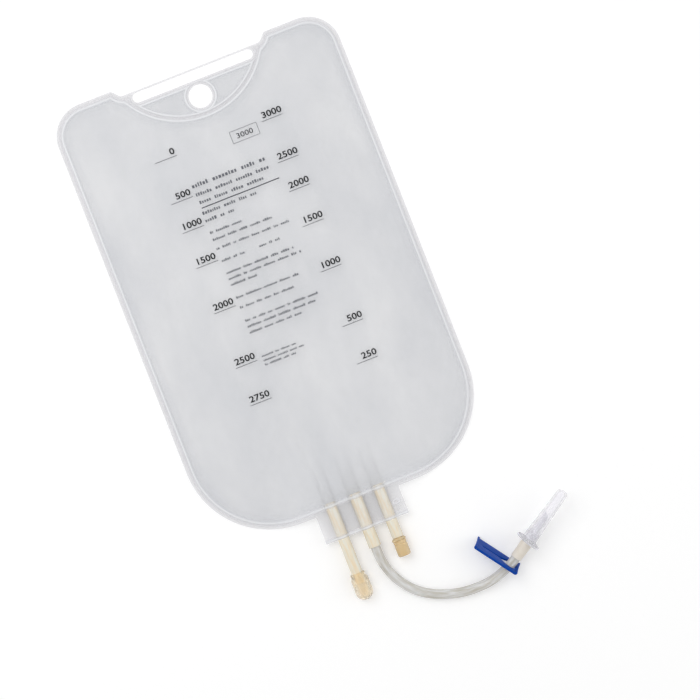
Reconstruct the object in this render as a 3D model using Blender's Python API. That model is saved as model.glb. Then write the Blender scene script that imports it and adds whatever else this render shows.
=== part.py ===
"""Empty three-litre bag for intravenous fluids, lying flat, with three ports, a fill tube, a clamp and a capped spike.

Metres, +Z up. +Y runs from the ports to the hanger end and +X across the bag, seen from the printed front.
The origin is under the middle of the bag and its ports, on the surface that the bag lies on.
"""

import math

import bmesh
import bpy
from mathutils import Matrix, Vector
from mathutils.geometry import delaunay_2d_cdt

# Fits
GAP = 0.0003
EASED_EDGE = 0.0003

# Bag films
FILM_THICKNESS = 0.0004
BAG_WIDTH = 0.240
BAG_LENGTH = 0.3745
TOP_CORNER_RADIUS = 0.027
BOTTOM_CORNER_RADIUS = 0.070
SHOULDER_DROP = 0.0064
HANGER_EDGE_WIDTH = 0.1165
SHOULDER_STEP_WIDTH = 0.008
WELD_WIDTH = 0.0048
FILM_SAG = 0.003
SAG_RUN = 0.055
SHEET_SPACING = 0.018

# Hanger end
SLOT_LENGTH = 0.102
SLOT_WIDTH = 0.008
SLOT_FROM_TOP = 0.012
HANGING_HOLE_RADIUS = 0.0094
HOLE_FROM_TOP = 0.0292
ARC_WELD_RADIUS = 0.0644
ARC_WELD_FROM_TOP = 0.0437

# Port plate: where the films run on past the bag, welded round the port tubes
PLATE_WIDTH = 0.070
PLATE_OFFSET = -0.0018
PLATE_LENGTH = 0.0227
PLATE_RISE_RUN = 0.052
PLATE_RISE_SIDE = 0.040
TUNNEL_SLOPE = math.radians(60)
TUBE_INSIDE_BAG = 0.007

# Administration port
ADMIN_X = -0.0225
ADMIN_TUBE_OUTER = 0.0092
ADMIN_TUBE_BORE = 0.0066
ADMIN_TUBE_REACH = 0.0380
ADMIN_CAP_WIDTH = 0.0142
ADMIN_CAP_HEIGHT = 0.0122
ADMIN_CAP_WALL = 0.0012
ADMIN_CAP_LENGTH = 0.0225
ADMIN_CAP_OVERLAP = 0.0084
MEMBRANE_DEPTH = 0.0180
MEMBRANE_LENGTH = 0.0050
MEMBRANE_WALL = 0.0008

# Fill port
FILL_X = -0.0015
FILL_PORT_OUTER = 0.0100
FILL_PORT_REACH = 0.0155
FILL_TUBE_DIAMETER = 0.0077

# Injection port
INJECTION_X = 0.0180
INJECTION_TUBE_OUTER = 0.0092
INJECTION_TUBE_BORE = 0.0066
INJECTION_TUBE_REACH = 0.0150
COLLAR_DIAMETER = 0.0118
COLLAR_THICKNESS = 0.0022
COLLAR_SPIGOT_LENGTH = 0.0070
COLLAR_BORE = 0.0036
NECK_LENGTH = 0.0040
INJECTION_CAP_DIAMETER = 0.0106
INJECTION_CAP_LENGTH = 0.0128
INJECTION_CAP_WALL = 0.0011
INJECTION_CAP_CHAMFER = 0.0009
NEEDLE_WINDOW = 0.0052

# Filling spike, on the end of the fill tube
SPIKE_PLACE = (0.1116, -0.2279)
SPIKE_ANGLE = math.radians(33.8)
SPIKE_PITCH = math.radians(7)
SPIKE_ROLL = math.radians(-65)
FLANGE_WIDTH = 0.0260
FLANGE_HEIGHT = 0.0180
FLANGE_THICKNESS = 0.0018
FAIRING_THICKNESS = 0.0012
FAIRING_FOOT = 0.0152
FAIRING_TOP = 0.0128
ADAPTER_LENGTH = 0.0155
ADAPTER_OUTER = 0.0093
ADAPTER_FLARE = 0.0098
SPIKE_STEM_LENGTH = 0.0080
BOSS_LENGTH = 0.0058
SPIKE_ROOT_DIAMETER = 0.0062
SPIKE_END_DIAMETER = 0.0046
SPIKE_LENGTH = 0.0245
SPIKE_BORE = 0.0026
SPIKE_POINT_SLANT = 1.1
COVER_LENGTH = 0.0466
COVER_MOUTH_DIAMETER = 0.0120
COVER_END_DIAMETER = 0.0090
COVER_END_ROUND = 0.0026
COVER_WALL = 0.0012

# Slide clamp, threaded on the fill tube
CLAMP_ROUTE_POINT = 18
CLAMP_ANGLE = math.radians(35.5)
CLAMP_LENGTH = 0.0400
CLAMP_WIDTH = 0.0180
CLAMP_THICKNESS = 0.0018
CLAMP_LEAN = math.radians(22)
CLAMP_LIP = 0.0010
CLAMP_EYE_DIAMETER = 0.0096
CLAMP_EYE_FROM_END = 0.0076
CLAMP_THROAT = 0.0125
CLAMP_SLIT_LENGTH = 0.0134
CLAMP_SLIT_WIDTH = 0.0014

# Route of the fill tube from inside its port to inside the adapter, chosen by hand
FILL_TUBE_ROUTE = (
    (-0.0015, -0.1740, 0.0061),
    (-0.0015, -0.1810, 0.0061),
    (-0.0015, -0.1880, 0.0061),
    (-0.0014, -0.1940, 0.0060),
    (-0.0009, -0.2000, 0.0056),
    (0.0006, -0.2070, 0.0050),
    (0.0032, -0.2145, 0.0044),
    (0.0075, -0.2223, 0.0040),
    (0.0135, -0.2298, 0.0039),
    (0.0215, -0.2364, 0.0039),
    (0.0310, -0.2416, 0.0039),
    (0.0410, -0.2452, 0.0039),
    (0.0510, -0.2473, 0.0040),
    (0.0610, -0.2480, 0.0043),
    (0.0710, -0.2474, 0.0053),
    (0.0790, -0.2455, 0.0070),
    (0.0850, -0.2434, 0.0083),
    (0.0887, -0.2418, 0.0090),
    (0.0923, -0.2401, 0.0096),
    (0.0955, -0.2384, 0.0101),
    (0.0988, -0.23645, 0.0105),
    (0.1045, -0.23265, 0.01135),
)
ROUTE_STEPS = 2

# Places worked out from the sizes
PORT_REACH = ADMIN_TUBE_REACH - ADMIN_CAP_OVERLAP + ADMIN_CAP_LENGTH
TOP_Y = (BAG_LENGTH + PLATE_LENGTH + PORT_REACH) / 2
BOTTOM_Y = TOP_Y - BAG_LENGTH
PLATE_Y = BOTTOM_Y - PLATE_LENGTH
TUBE_TOP_Y = BOTTOM_Y + TUBE_INSIDE_BAG
PORT_AXIS_Z = ADMIN_CAP_HEIGHT / 2
PLATE_RISE = PORT_AXIS_Z - FILM_THICKNESS - GAP / 2
FLANGE_LIFT = math.hypot(FLANGE_WIDTH * math.sin(SPIKE_ROLL), FLANGE_HEIGHT * math.cos(SPIKE_ROLL)) / 2
PORTS = ((ADMIN_X, ADMIN_TUBE_OUTER), (FILL_X, FILL_PORT_OUTER), (INJECTION_X, INJECTION_TUBE_OUTER))


def clear_scene():
    for old in list(bpy.data.objects):
        bpy.data.objects.remove(old, do_unlink=True)


def plastic(name, colour, roughness, see_through):
    """A Principled material for a moulded, extruded or cast plastic."""
    material = bpy.data.materials.new(name)
    material.use_nodes = True
    shader = material.node_tree.nodes["Principled BSDF"]
    shader.inputs["Base Color"].default_value = (*colour, 1.0)
    shader.inputs["Roughness"].default_value = roughness
    shader.inputs["Metallic"].default_value = 0.0
    shader.inputs["Transmission Weight"].default_value = see_through
    return material


def add_object(name, body, material, place=None):
    """Turns a bmesh into a named object in the scene, smooth but for its sharp edges."""
    bmesh.ops.recalc_face_normals(body, faces=body.faces)
    mesh = bpy.data.meshes.new(name)
    body.to_mesh(mesh)
    body.free()
    mesh.shade_smooth()
    mesh.set_sharp_from_angle(angle=math.radians(35))
    mesh.materials.append(material)
    made = bpy.data.objects.new(name, mesh)
    if place is not None:
        made.matrix_world = place
    bpy.context.scene.collection.objects.link(made)
    return made


def along_axis(start, ahead):
    """The place whose local Z runs along a direction, with local X level and local Y as near up as can be."""
    side = Vector((0.0, 0.0, 1.0)).cross(ahead).normalized()
    up = ahead.cross(side)
    return Matrix.Translation(start) @ Matrix((side, up, ahead)).transposed().to_4x4()


def ring_body(rings, sides=32):
    """A closed skin over oval rings, each (half width, half height, place on local Z, slant of its plane).

    The rings run once round the piece's section. One of no size is a point on the axis: a solid piece
    has one at each end, a cup has its outer and inner ones together, and a tube has none.
    """
    body = bmesh.new()
    loops = []
    for half_width, half_height, along, slant in rings:
        if half_width == 0.0:
            loops.append([body.verts.new((0.0, 0.0, along))])
            continue
        loop = []
        for step in range(sides):
            angle = 2 * math.pi * step / sides
            y = half_height * math.sin(angle)
            loop.append(body.verts.new((half_width * math.cos(angle), y, along + slant * y)))
        loops.append(loop)
    for first, second in zip(loops, loops[1:] + loops[:1]):
        if len(first) == 1 and len(second) == 1:
            continue
        for step in range(sides):
            after = (step + 1) % sides
            if len(first) == 1:
                body.faces.new((first[0], second[step], second[after]))
            elif len(second) == 1:
                body.faces.new((first[step], second[0], first[after]))
            else:
                body.faces.new((first[step], second[step], second[after], first[after]))
    return body


def round_rings(sections):
    """Rings for ring_body from pairs of radius and place."""
    return [(radius, radius, along, 0.0) for radius, along in sections]


def tube_rings(outer, bore, start, end):
    """The rings of a straight tube whose outer edges are eased."""
    outside = outer / 2
    inside = bore / 2
    return round_rings(
        (
            (outside - EASED_EDGE, start),
            (outside, start + EASED_EDGE),
            (outside, end - EASED_EDGE),
            (outside - EASED_EDGE, end),
            (inside, end),
            (inside, start),
        )
    )


def domed_end(half_width, half_height, end, depth, steps=6):
    """Rings of a round end that reaches `end`, from its rim to the point on the axis."""
    rings = []
    for step in range(steps):
        turn = math.radians(90 * step / steps)
        share = math.cos(turn)
        rings.append((half_width * share, half_height * share, end - depth * (1 - math.sin(turn)), 0.0))
    rings.append((0.0, 0.0, end, 0.0))
    return rings


def arc(centre, radius, start_deg, end_deg, steps):
    """Points on an arc, both ends included."""
    points = []
    for step in range(steps + 1):
        angle = math.radians(start_deg + (end_deg - start_deg) * step / steps)
        points.append((centre[0] + radius * math.cos(angle), centre[1] + radius * math.sin(angle)))
    return points


def smooth_step(value):
    value = min(1.0, max(0.0, value))
    return value * value * (3 - 2 * value)


def tunnel_foot(outer):
    """How far from a port's axis the film over it comes down to the weld plane."""
    return (outer / 2 + GAP / 2) / math.sin(TUNNEL_SLOPE)


def tunnel_stops(x, outer):
    """Where the film over one port tube has its points: round the tube, then straight down to the weld."""
    radius = outer / 2 + GAP / 2
    stops = [radius * math.sin(TUNNEL_SLOPE * share / 3) for share in range(-3, 4)]
    return [x + stop for stop in (-tunnel_foot(outer), *stops, tunnel_foot(outer))]


def tunnel_height(x):
    """How far the film stands off the weld plane to pass round the port tubes."""
    height = 0.0
    for centre, outer in PORTS:
        radius = outer / 2 + GAP / 2
        off = abs(x - centre)
        if off < radius * math.sin(TUNNEL_SLOPE):
            height = max(height, math.sqrt(radius**2 - off**2))
        else:
            height = max(height, (tunnel_foot(outer) - off) * math.tan(TUNNEL_SLOPE))
    return height


def plate_share(y):
    """1 over the port plate and the tubes' ends, fading to 0 up the bag."""
    return smooth_step((TUBE_TOP_Y + GAP + PLATE_RISE_RUN - y) / PLATE_RISE_RUN)


def weld_rise(x, y):
    """How far the weld plane is lifted towards the port plate, which the cap below it holds up."""
    beside = abs(x - PLATE_OFFSET) - PLATE_WIDTH / 2
    return PLATE_RISE * plate_share(y) * (1 - smooth_step(beside / PLATE_RISE_SIDE))


def sag(x, y):
    """How far the front film stands off the back film inside the welds."""
    arc_centre_y = TOP_Y - ARC_WELD_FROM_TOP + ARC_WELD_RADIUS
    distances = (
        BAG_WIDTH / 2 - WELD_WIDTH - abs(x),
        y - BOTTOM_Y - WELD_WIDTH,
        TOP_Y - WELD_WIDTH - y,
        math.hypot(x, y - arc_centre_y) - ARC_WELD_RADIUS - WELD_WIDTH / 2,
    )
    share = 1.0
    for distance in distances:
        share *= smooth_step(distance / SAG_RUN)
    return FILM_SAG * share


def back_height(x, y):
    """The underside of the back film."""
    return weld_rise(x, y) - tunnel_height(x) * plate_share(y)


def front_height(x, y):
    """The underside of the front film."""
    return FILM_THICKNESS + GAP + weld_rise(x, y) + tunnel_height(x) * plate_share(y) + sag(x, y)


def tunnel_columns():
    return sorted(stop for port in PORTS for stop in tunnel_stops(*port))


def bag_outline():
    """The films' outline, counter-clockwise from the port plate's lower left corner."""
    half = BAG_WIDTH / 2
    plate_left = PLATE_OFFSET - PLATE_WIDTH / 2
    plate_right = PLATE_OFFSET + PLATE_WIDTH / 2
    bottom_centre = (half - BOTTOM_CORNER_RADIUS, BOTTOM_Y + BOTTOM_CORNER_RADIUS)
    right = arc(bottom_centre, BOTTOM_CORNER_RADIUS, -90, 0, 12)
    top_centre = (half - TOP_CORNER_RADIUS, TOP_Y - TOP_CORNER_RADIUS)
    right += arc(top_centre, TOP_CORNER_RADIUS, 0, 90, 8)
    for step in range(7):
        share = step / 6
        x = HANGER_EDGE_WIDTH / 2 + (1 - share) * SHOULDER_STEP_WIDTH
        right.append((x, TOP_Y - SHOULDER_DROP * smooth_step(share)))
    points = [(plate_left, PLATE_Y)]
    points += [(x, PLATE_Y) for x in tunnel_columns()]
    points += [(plate_right, PLATE_Y), (plate_right, BOTTOM_Y)]
    points += right
    points += [(-x, y) for x, y in reversed(right)]
    points.append((plate_left, BOTTOM_Y))
    return points


def slot_outline():
    """The long hanging slot, with round ends."""
    reach = (SLOT_LENGTH - SLOT_WIDTH) / 2
    y = TOP_Y - SLOT_FROM_TOP
    return arc((reach, y), SLOT_WIDTH / 2, -90, 90, 8) + arc((-reach, y), SLOT_WIDTH / 2, 90, 270, 8)


def hole_outline():
    """The round hanging hole."""
    return arc((0.0, TOP_Y - HOLE_FROM_TOP), HANGING_HOLE_RADIUS, 0, 345, 23)


def inside_loop(point, loop):
    """Whether a point lies in a closed loop, by counting the edges that a line across it meets."""
    x, y = point
    found = False
    for (ax, ay), (bx, by) in zip(loop, loop[1:] + loop[:1]):
        if (ay > y) != (by > y) and x < ax + (y - ay) * (bx - ax) / (by - ay):
            found = not found
    return found


def from_loop(point, loop):
    """The distance from a point to the nearest edge of a loop."""
    spot = Vector(point)
    nearest = math.inf
    for first, second in zip(loop, loop[1:] + loop[:1]):
        start = Vector(first)
        edge = Vector(second) - start
        share = min(1.0, max(0.0, (spot - start).dot(edge) / edge.length_squared))
        nearest = min(nearest, (spot - start - share * edge).length)
    return nearest


def sheet_points(loops):
    """The films' inner points: rows across the port tubes' tunnels, and a coarse grid elsewhere."""
    columns = tunnel_columns()
    fade_start = TUBE_TOP_Y + GAP
    rows = [BOTTOM_Y] + [fade_start + PLATE_RISE_RUN * step / 6 for step in range(7)]
    fine = [(x, y) for y in rows for x in columns]
    coarse = []
    margin = SHEET_SPACING / 3
    across = math.ceil(BAG_WIDTH / SHEET_SPACING)
    along = math.ceil(BAG_LENGTH / SHEET_SPACING)
    for row in range(along + 1):
        y = BOTTOM_Y + BAG_LENGTH * row / along
        for column in range(across + 1):
            x = BAG_WIDTH * (column / across - 0.5)
            if x < columns[0] - margin or x > columns[-1] + margin or y > rows[-1] + margin:
                coarse.append((x, y))
    outline, *holes = loops
    kept = []
    for points, least in ((fine, GAP), (coarse, margin)):
        for point in points:
            in_film = inside_loop(point, outline) and not any(inside_loop(point, hole) for hole in holes)
            if in_film and all(from_loop(point, loop) > least for loop in loops):
                kept.append(point)
    return kept


def film(name, underside, material):
    """One film: its outline and holes filled with triangles, raised to its height and given its thickness."""
    loops = [bag_outline(), slot_outline(), hole_outline()]
    points = [Vector(point) for loop in loops for point in loop]
    faces = []
    start = 0
    for loop in loops:
        faces.append(list(range(start, start + len(loop))))
        start += len(loop)
    points += [Vector(point) for point in sheet_points(loops)]
    inside_but_holes = 2
    flat, _, triangles, _, _, _ = delaunay_2d_cdt(points, [], faces, inside_but_holes, 1e-7)
    body = bmesh.new()
    low = []
    high = []
    for point in flat:
        z = underside(point.x, point.y)
        low.append(body.verts.new((point.x, point.y, z)))
        high.append(body.verts.new((point.x, point.y, z + FILM_THICKNESS)))
    rim = set()
    for triangle in triangles:
        body.faces.new([high[corner] for corner in triangle])
        body.faces.new([low[corner] for corner in reversed(triangle)])
        for first, second in zip(triangle, triangle[1:] + triangle[:1]):
            if (second, first) in rim:
                rim.remove((second, first))
            else:
                rim.add((first, second))
    for first, second in sorted(rim):
        body.faces.new((low[first], low[second], high[second], high[first]))
    loose = [vertex for vertex in body.verts if not vertex.link_faces]
    bmesh.ops.delete(body, geom=loose, context="VERTS")
    return add_object(name, body, material)


def port_place(x):
    """A port's axis: local Z starts at the port plate's edge and runs away from the bag."""
    return along_axis((x, PLATE_Y, PORT_AXIS_Z), Vector((0.0, -1.0, 0.0)))


def port_tube(name, x, outer, bore, reach, material):
    """A tube welded between the films, open into the bag."""
    rings = tube_rings(outer, bore, PLATE_Y - TUBE_TOP_Y, reach)
    add_object(name, ring_body(rings), material, port_place(x))


def administration_port(tube_material, cap_material):
    """The port on the left: a tube with a membrane across its bore, closed by a round-ended cap."""
    port_tube("admin_port_tube", ADMIN_X, ADMIN_TUBE_OUTER, ADMIN_TUBE_BORE, ADMIN_TUBE_REACH, tube_material)

    outer = ADMIN_TUBE_BORE / 2 - GAP
    web = ADMIN_TUBE_REACH - MEMBRANE_DEPTH
    insert = round_rings(
        (
            (0.0, web),
            (outer, web),
            (outer, web - MEMBRANE_LENGTH),
            (outer - MEMBRANE_WALL, web - MEMBRANE_LENGTH),
            (outer - MEMBRANE_WALL, web - MEMBRANE_WALL),
            (0.0, web - MEMBRANE_WALL),
        )
    )
    add_object("admin_membrane", ring_body(insert), tube_material, port_place(ADMIN_X))

    mouth = ADMIN_TUBE_REACH - ADMIN_CAP_OVERLAP
    end = mouth + ADMIN_CAP_LENGTH
    bore = ADMIN_TUBE_OUTER / 2 + GAP
    neck = bore + ADMIN_CAP_WALL - EASED_EDGE
    half_width = ADMIN_CAP_WIDTH / 2
    half_height = ADMIN_CAP_HEIGHT / 2
    outside = [
        (neck, neck, mouth, 0.0),
        (neck, neck, mouth + ADMIN_CAP_OVERLAP / 4, 0.0),
        (half_width - EASED_EDGE, half_height - EASED_EDGE, mouth + ADMIN_CAP_OVERLAP / 2, 0.0),
    ]
    outside += domed_end(half_width, half_height, end, half_width)
    inside = [(bore, bore, mouth, 0.0), *domed_end(bore, bore, end - ADMIN_CAP_WALL, bore)]
    add_object("admin_cap", ring_body(outside + inside[::-1]), cap_material, port_place(ADMIN_X))


def injection_port(tube_material, cap_material, rubber):
    """The port on the right: a tube, a collar plugged into it, and a cap that holds a rubber septum."""
    port_tube(
        "injection_port_tube",
        INJECTION_X,
        INJECTION_TUBE_OUTER,
        INJECTION_TUBE_BORE,
        INJECTION_TUBE_REACH,
        tube_material,
    )
    place = port_place(INJECTION_X)
    spigot = INJECTION_TUBE_BORE / 2 - GAP
    cap_bore = INJECTION_CAP_DIAMETER / 2 - INJECTION_CAP_WALL
    neck = cap_bore - GAP
    low = INJECTION_TUBE_REACH + GAP
    high = low + COLLAR_THICKNESS
    collar = round_rings(
        (
            (spigot, INJECTION_TUBE_REACH - COLLAR_SPIGOT_LENGTH),
            (spigot, low),
            (INJECTION_TUBE_OUTER / 2, low),
            (COLLAR_DIAMETER / 2, high - COLLAR_THICKNESS / 3),
            (COLLAR_DIAMETER / 2, high),
            (neck, high),
            (neck, high + NECK_LENGTH),
            (COLLAR_BORE / 2, high + NECK_LENGTH),
            (COLLAR_BORE / 2, INJECTION_TUBE_REACH - COLLAR_SPIGOT_LENGTH),
        )
    )
    add_object("injection_collar", ring_body(collar), cap_material, place)

    mouth = high + GAP
    end = mouth + INJECTION_CAP_LENGTH
    outside = INJECTION_CAP_DIAMETER / 2
    cap = round_rings(
        (
            (outside, mouth),
            (outside, end - INJECTION_CAP_CHAMFER),
            (outside - INJECTION_CAP_CHAMFER, end),
            (NEEDLE_WINDOW / 2, end),
            (NEEDLE_WINDOW / 2, end - INJECTION_CAP_WALL),
            (cap_bore, end - INJECTION_CAP_WALL),
            (cap_bore, mouth),
        )
    )
    add_object("injection_cap", ring_body(cap), cap_material, place)

    plug_end = end - INJECTION_CAP_WALL - GAP
    septum = round_rings(
        (
            (0.0, high + NECK_LENGTH + GAP),
            (neck, high + NECK_LENGTH + GAP),
            (neck, plug_end),
            (NEEDLE_WINDOW / 2 - GAP, plug_end),
            (NEEDLE_WINDOW / 2 - GAP, end - EASED_EDGE),
            (0.0, end - EASED_EDGE),
        )
    )
    add_object("injection_septum", ring_body(septum), rubber, place)


def smooth_route(route, steps):
    """Points on the smooth curve through a route's own points, with its slope at each taken from its neighbours."""
    spots = [Vector(point) for point in route]
    ends = [2 * spots[0] - spots[1], *spots, 2 * spots[-1] - spots[-2]]
    curve = []
    for before, start, end, after in zip(ends, ends[1:], ends[2:], ends[3:]):
        for step in range(steps):
            t = step / steps
            pull = (end - before) * (t - 2 * t**2 + t**3) / 2 + (after - start) * (t**3 - t**2) / 2
            curve.append(start * (1 - 3 * t**2 + 2 * t**3) + end * (3 * t**2 - 2 * t**3) + pull)
    curve.append(spots[-1])
    return curve


def fill_tube(material):
    """The soft hose from the fill port to the spike's adapter."""
    points = smooth_route(FILL_TUBE_ROUTE, ROUTE_STEPS)
    curve = bpy.data.curves.new("fill_tube", "CURVE")
    curve.dimensions = "3D"
    curve.bevel_depth = FILL_TUBE_DIAMETER / 2
    curve.bevel_resolution = 3
    curve.use_fill_caps = True
    spline = curve.splines.new("POLY")
    spline.points.add(len(points) - 1)
    for spot, point in zip(spline.points, points):
        spot.co = (*point, 1.0)
    curve.materials.append(material)
    made = bpy.data.objects.new("fill_tube", curve)
    bpy.context.scene.collection.objects.link(made)


def spike_set(clear_material, adapter_material):
    """The adapter on the tube's end, the filling spike with its oval finger flange, and its cover.

    The flange rests on its rim, rolled over, and the spike points a little up.
    """
    level = math.cos(SPIKE_PITCH)
    ahead = Vector((level * math.cos(SPIKE_ANGLE), level * math.sin(SPIKE_ANGLE), math.sin(SPIKE_PITCH)))
    place = along_axis((*SPIKE_PLACE, FLANGE_LIFT), ahead) @ Matrix.Rotation(SPIKE_ROLL, 4, "Z")
    stem = FILL_TUBE_DIAMETER / 2
    adapter_bore = FILL_TUBE_DIAMETER / 2 + GAP
    adapter = round_rings(
        (
            (ADAPTER_OUTER / 2 - EASED_EDGE, -ADAPTER_LENGTH),
            (ADAPTER_OUTER / 2, EASED_EDGE - ADAPTER_LENGTH),
            (ADAPTER_FLARE / 2, -GAP),
            (adapter_bore, -GAP),
            (adapter_bore, -ADAPTER_LENGTH),
        )
    )
    add_object("tube_adapter", ring_body(adapter), adapter_material, place)

    cover_bore = COVER_MOUTH_DIAMETER / 2 - COVER_WALL
    boss = cover_bore - GAP
    face = FLANGE_THICKNESS
    seat = face + FAIRING_THICKNESS
    tip = face + SPIKE_LENGTH
    spike = round_rings([(stem, -SPIKE_STEM_LENGTH), (stem, 0.0)])
    for inset, along in ((EASED_EDGE, 0.0), (0.0, EASED_EDGE), (0.0, face - EASED_EDGE), (EASED_EDGE, face)):
        spike.append((FLANGE_WIDTH / 2 - inset, FLANGE_HEIGHT / 2 - inset, along, 0.0))
    spike += round_rings(
        (
            (FAIRING_FOOT / 2, face),
            (FAIRING_TOP / 2, seat),
            (boss, seat),
            (boss - GAP, seat + BOSS_LENGTH),
            (SPIKE_ROOT_DIAMETER / 2, seat + BOSS_LENGTH),
        )
    )
    spike += [
        (SPIKE_END_DIAMETER / 2, SPIKE_END_DIAMETER / 2, tip, SPIKE_POINT_SLANT),
        (SPIKE_BORE / 2, SPIKE_BORE / 2, tip, SPIKE_POINT_SLANT),
    ]
    spike += round_rings([(SPIKE_BORE / 2, -SPIKE_STEM_LENGTH)])
    add_object("filling_spike", ring_body(spike), clear_material, place)

    mouth = seat + GAP
    end = mouth + COVER_LENGTH
    far = COVER_END_DIAMETER / 2
    flat_end = far - COVER_END_ROUND
    cover = round_rings([(COVER_MOUTH_DIAMETER / 2, mouth)])
    for step in range(5):
        turn = math.radians(90 * step / 4)
        radius = flat_end + COVER_END_ROUND * math.cos(turn)
        cover += round_rings([(radius, end - COVER_END_ROUND * (1 - math.sin(turn)))])
    cover += round_rings(
        (
            (0.0, end),
            (0.0, end - COVER_WALL),
            (flat_end, end - COVER_WALL),
            (far - COVER_WALL, end - COVER_END_ROUND),
            (cover_bore, mouth),
        )
    )
    add_object("spike_cover", ring_body(cover), clear_material, place)


def clamp_section():
    """The clamp's side view, a strip whose two ends are turned up into lips, as (along, up) pairs."""
    half = CLAMP_LENGTH / 2
    low = -CLAMP_THICKNESS / 2
    high = CLAMP_THICKNESS / 2
    top = high + CLAMP_LIP
    wall = CLAMP_THICKNESS
    end = arc((half - wall, low + wall), wall, -90, 0, 4)
    end += [(half, top - EASED_EDGE), (half - EASED_EDGE, top)]
    end += [(half - wall + EASED_EDGE, top), (half - wall, top - EASED_EDGE)]
    end += [(half - wall, high + wall / 3), (half - wall - wall / 3, high)]
    return end + [(-x, z) for x, z in reversed(end)]


def keyhole_outline():
    """The clamp's opening: a round eye that narrows through a throat to a slit, as (along, across) pairs."""
    eye_x = CLAMP_EYE_FROM_END - CLAMP_LENGTH / 2
    eye = CLAMP_EYE_DIAMETER / 2
    slit = CLAMP_SLIT_WIDTH / 2
    slit_end = eye_x + CLAMP_THROAT + CLAMP_SLIT_LENGTH
    lower = []
    for step in range(9):
        share = step / 8
        lower.append((eye_x + CLAMP_THROAT * share, -eye + (eye - slit) * smooth_step(share)))
    outline = arc((eye_x, 0.0), eye, 90, 270, 12)[:-1] + lower
    outline += arc((slit_end - slit, 0.0), slit, -90, 90, 4)
    return outline + [(x, -y) for x, y in reversed(lower[1:])]


def extruded(outline, to_point, depth):
    """A closed prism: an outline laid out by to_point and carried along by depth."""
    body = bmesh.new()
    near = [body.verts.new(to_point(*point)) for point in outline]
    far = [body.verts.new(vertex.co + depth) for vertex in near]
    body.faces.new(near)
    body.faces.new(list(reversed(far)))
    for first, second, third, fourth in zip(near, near[1:] + near[:1], far[1:] + far[:1], far):
        body.faces.new((first, second, third, fourth))
    return body


def slide_clamp(material):
    """The flat clamp on the fill tube: local X runs to the slit, local Y across the plate, local Z to its lips."""
    centre = Vector(FILL_TUBE_ROUTE[CLAMP_ROUTE_POINT])
    ahead = Vector((math.cos(CLAMP_ANGLE), math.sin(CLAMP_ANGLE), 0.0))
    up = Vector((0.0, 0.0, 1.0))
    across = math.cos(CLAMP_LEAN) * up - math.sin(CLAMP_LEAN) * ahead
    face = math.cos(CLAMP_LEAN) * ahead + math.sin(CLAMP_LEAN) * up
    to_slit = across.cross(face)
    eye_x = CLAMP_EYE_FROM_END - CLAMP_LENGTH / 2
    place = Matrix.Translation(centre - eye_x * to_slit)
    place = place @ Matrix((to_slit, across, face)).transposed().to_4x4()

    strip = extruded(
        clamp_section(),
        lambda x, z: Vector((x, -CLAMP_WIDTH / 2, z)),
        Vector((0.0, CLAMP_WIDTH, 0.0)),
    )
    clamp = add_object("slide_clamp", strip, material, place)
    through = 2 * CLAMP_THICKNESS
    keyhole = extruded(
        keyhole_outline(),
        lambda x, y: Vector((x, y, -through / 2)),
        Vector((0.0, 0.0, through)),
    )
    cutter = add_object("keyhole_cutter", keyhole, material, place)
    cutter.hide_render = True
    cutter.display_type = "WIRE"
    cut = clamp.modifiers.new("keyhole", "BOOLEAN")
    cut.operation = "DIFFERENCE"
    cut.solver = "EXACT"
    cut.object = cutter


def main():
    clear_scene()
    bag_film = plastic("bag film", (0.72, 0.73, 0.76), 0.35, 0.8)
    port_plastic = plastic("port tubing", (0.90, 0.78, 0.55), 0.25, 0.6)
    cap_plastic = plastic("port cap", (0.88, 0.66, 0.36), 0.25, 0.6)
    amber = plastic("amber cap", (0.72, 0.42, 0.10), 0.25, 0.5)
    rubber = plastic("septum rubber", (0.55, 0.38, 0.20), 0.7, 0.0)
    hose = plastic("fill tube", (0.70, 0.68, 0.62), 0.25, 0.6)
    cream = plastic("adapter", (0.80, 0.74, 0.66), 0.4, 0.0)
    clear = plastic("spike plastic", (0.80, 0.80, 0.84), 0.3, 0.6)
    blue = plastic("clamp plastic", (0.01, 0.05, 0.33), 0.35, 0.0)
    film("back_film", back_height, bag_film)
    film("front_film", front_height, bag_film)
    administration_port(port_plastic, cap_plastic)
    port_tube(
        "fill_port_tube",
        FILL_X,
        FILL_PORT_OUTER,
        FILL_TUBE_DIAMETER + 2 * GAP,
        FILL_PORT_REACH,
        port_plastic,
    )
    injection_port(port_plastic, amber, rubber)
    fill_tube(hose)
    spike_set(clear, cream)
    slide_clamp(blue)


if __name__ == "__main__":
    main()
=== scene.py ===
"""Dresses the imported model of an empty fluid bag: films and print, ports, fill tube, clamp and spike.

Metres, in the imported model's frame: +Z up, +Y towards the hanger end, +X to the right of the printed front.
"""

import math

import bmesh
import bpy
import numpy as np
from mathutils import Matrix, Vector
from mathutils.geometry import delaunay_2d_cdt


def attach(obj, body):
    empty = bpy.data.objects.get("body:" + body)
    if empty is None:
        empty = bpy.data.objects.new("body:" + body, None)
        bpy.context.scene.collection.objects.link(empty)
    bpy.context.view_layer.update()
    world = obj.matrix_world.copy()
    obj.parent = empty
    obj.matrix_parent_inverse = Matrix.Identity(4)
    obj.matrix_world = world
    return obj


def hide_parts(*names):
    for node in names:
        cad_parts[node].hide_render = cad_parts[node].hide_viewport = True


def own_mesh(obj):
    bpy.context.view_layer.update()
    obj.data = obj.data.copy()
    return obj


bl_info = {
    "name": "Fluid bag dresser",
    "version": (1, 0, 0),
    "blender": (4, 5, 0),
    "location": "3D View > Sidebar > Fluid Bag",
    "description": "Makes the pieces of an empty fluid bag round its packed model",
    "category": "Object",
}

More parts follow.
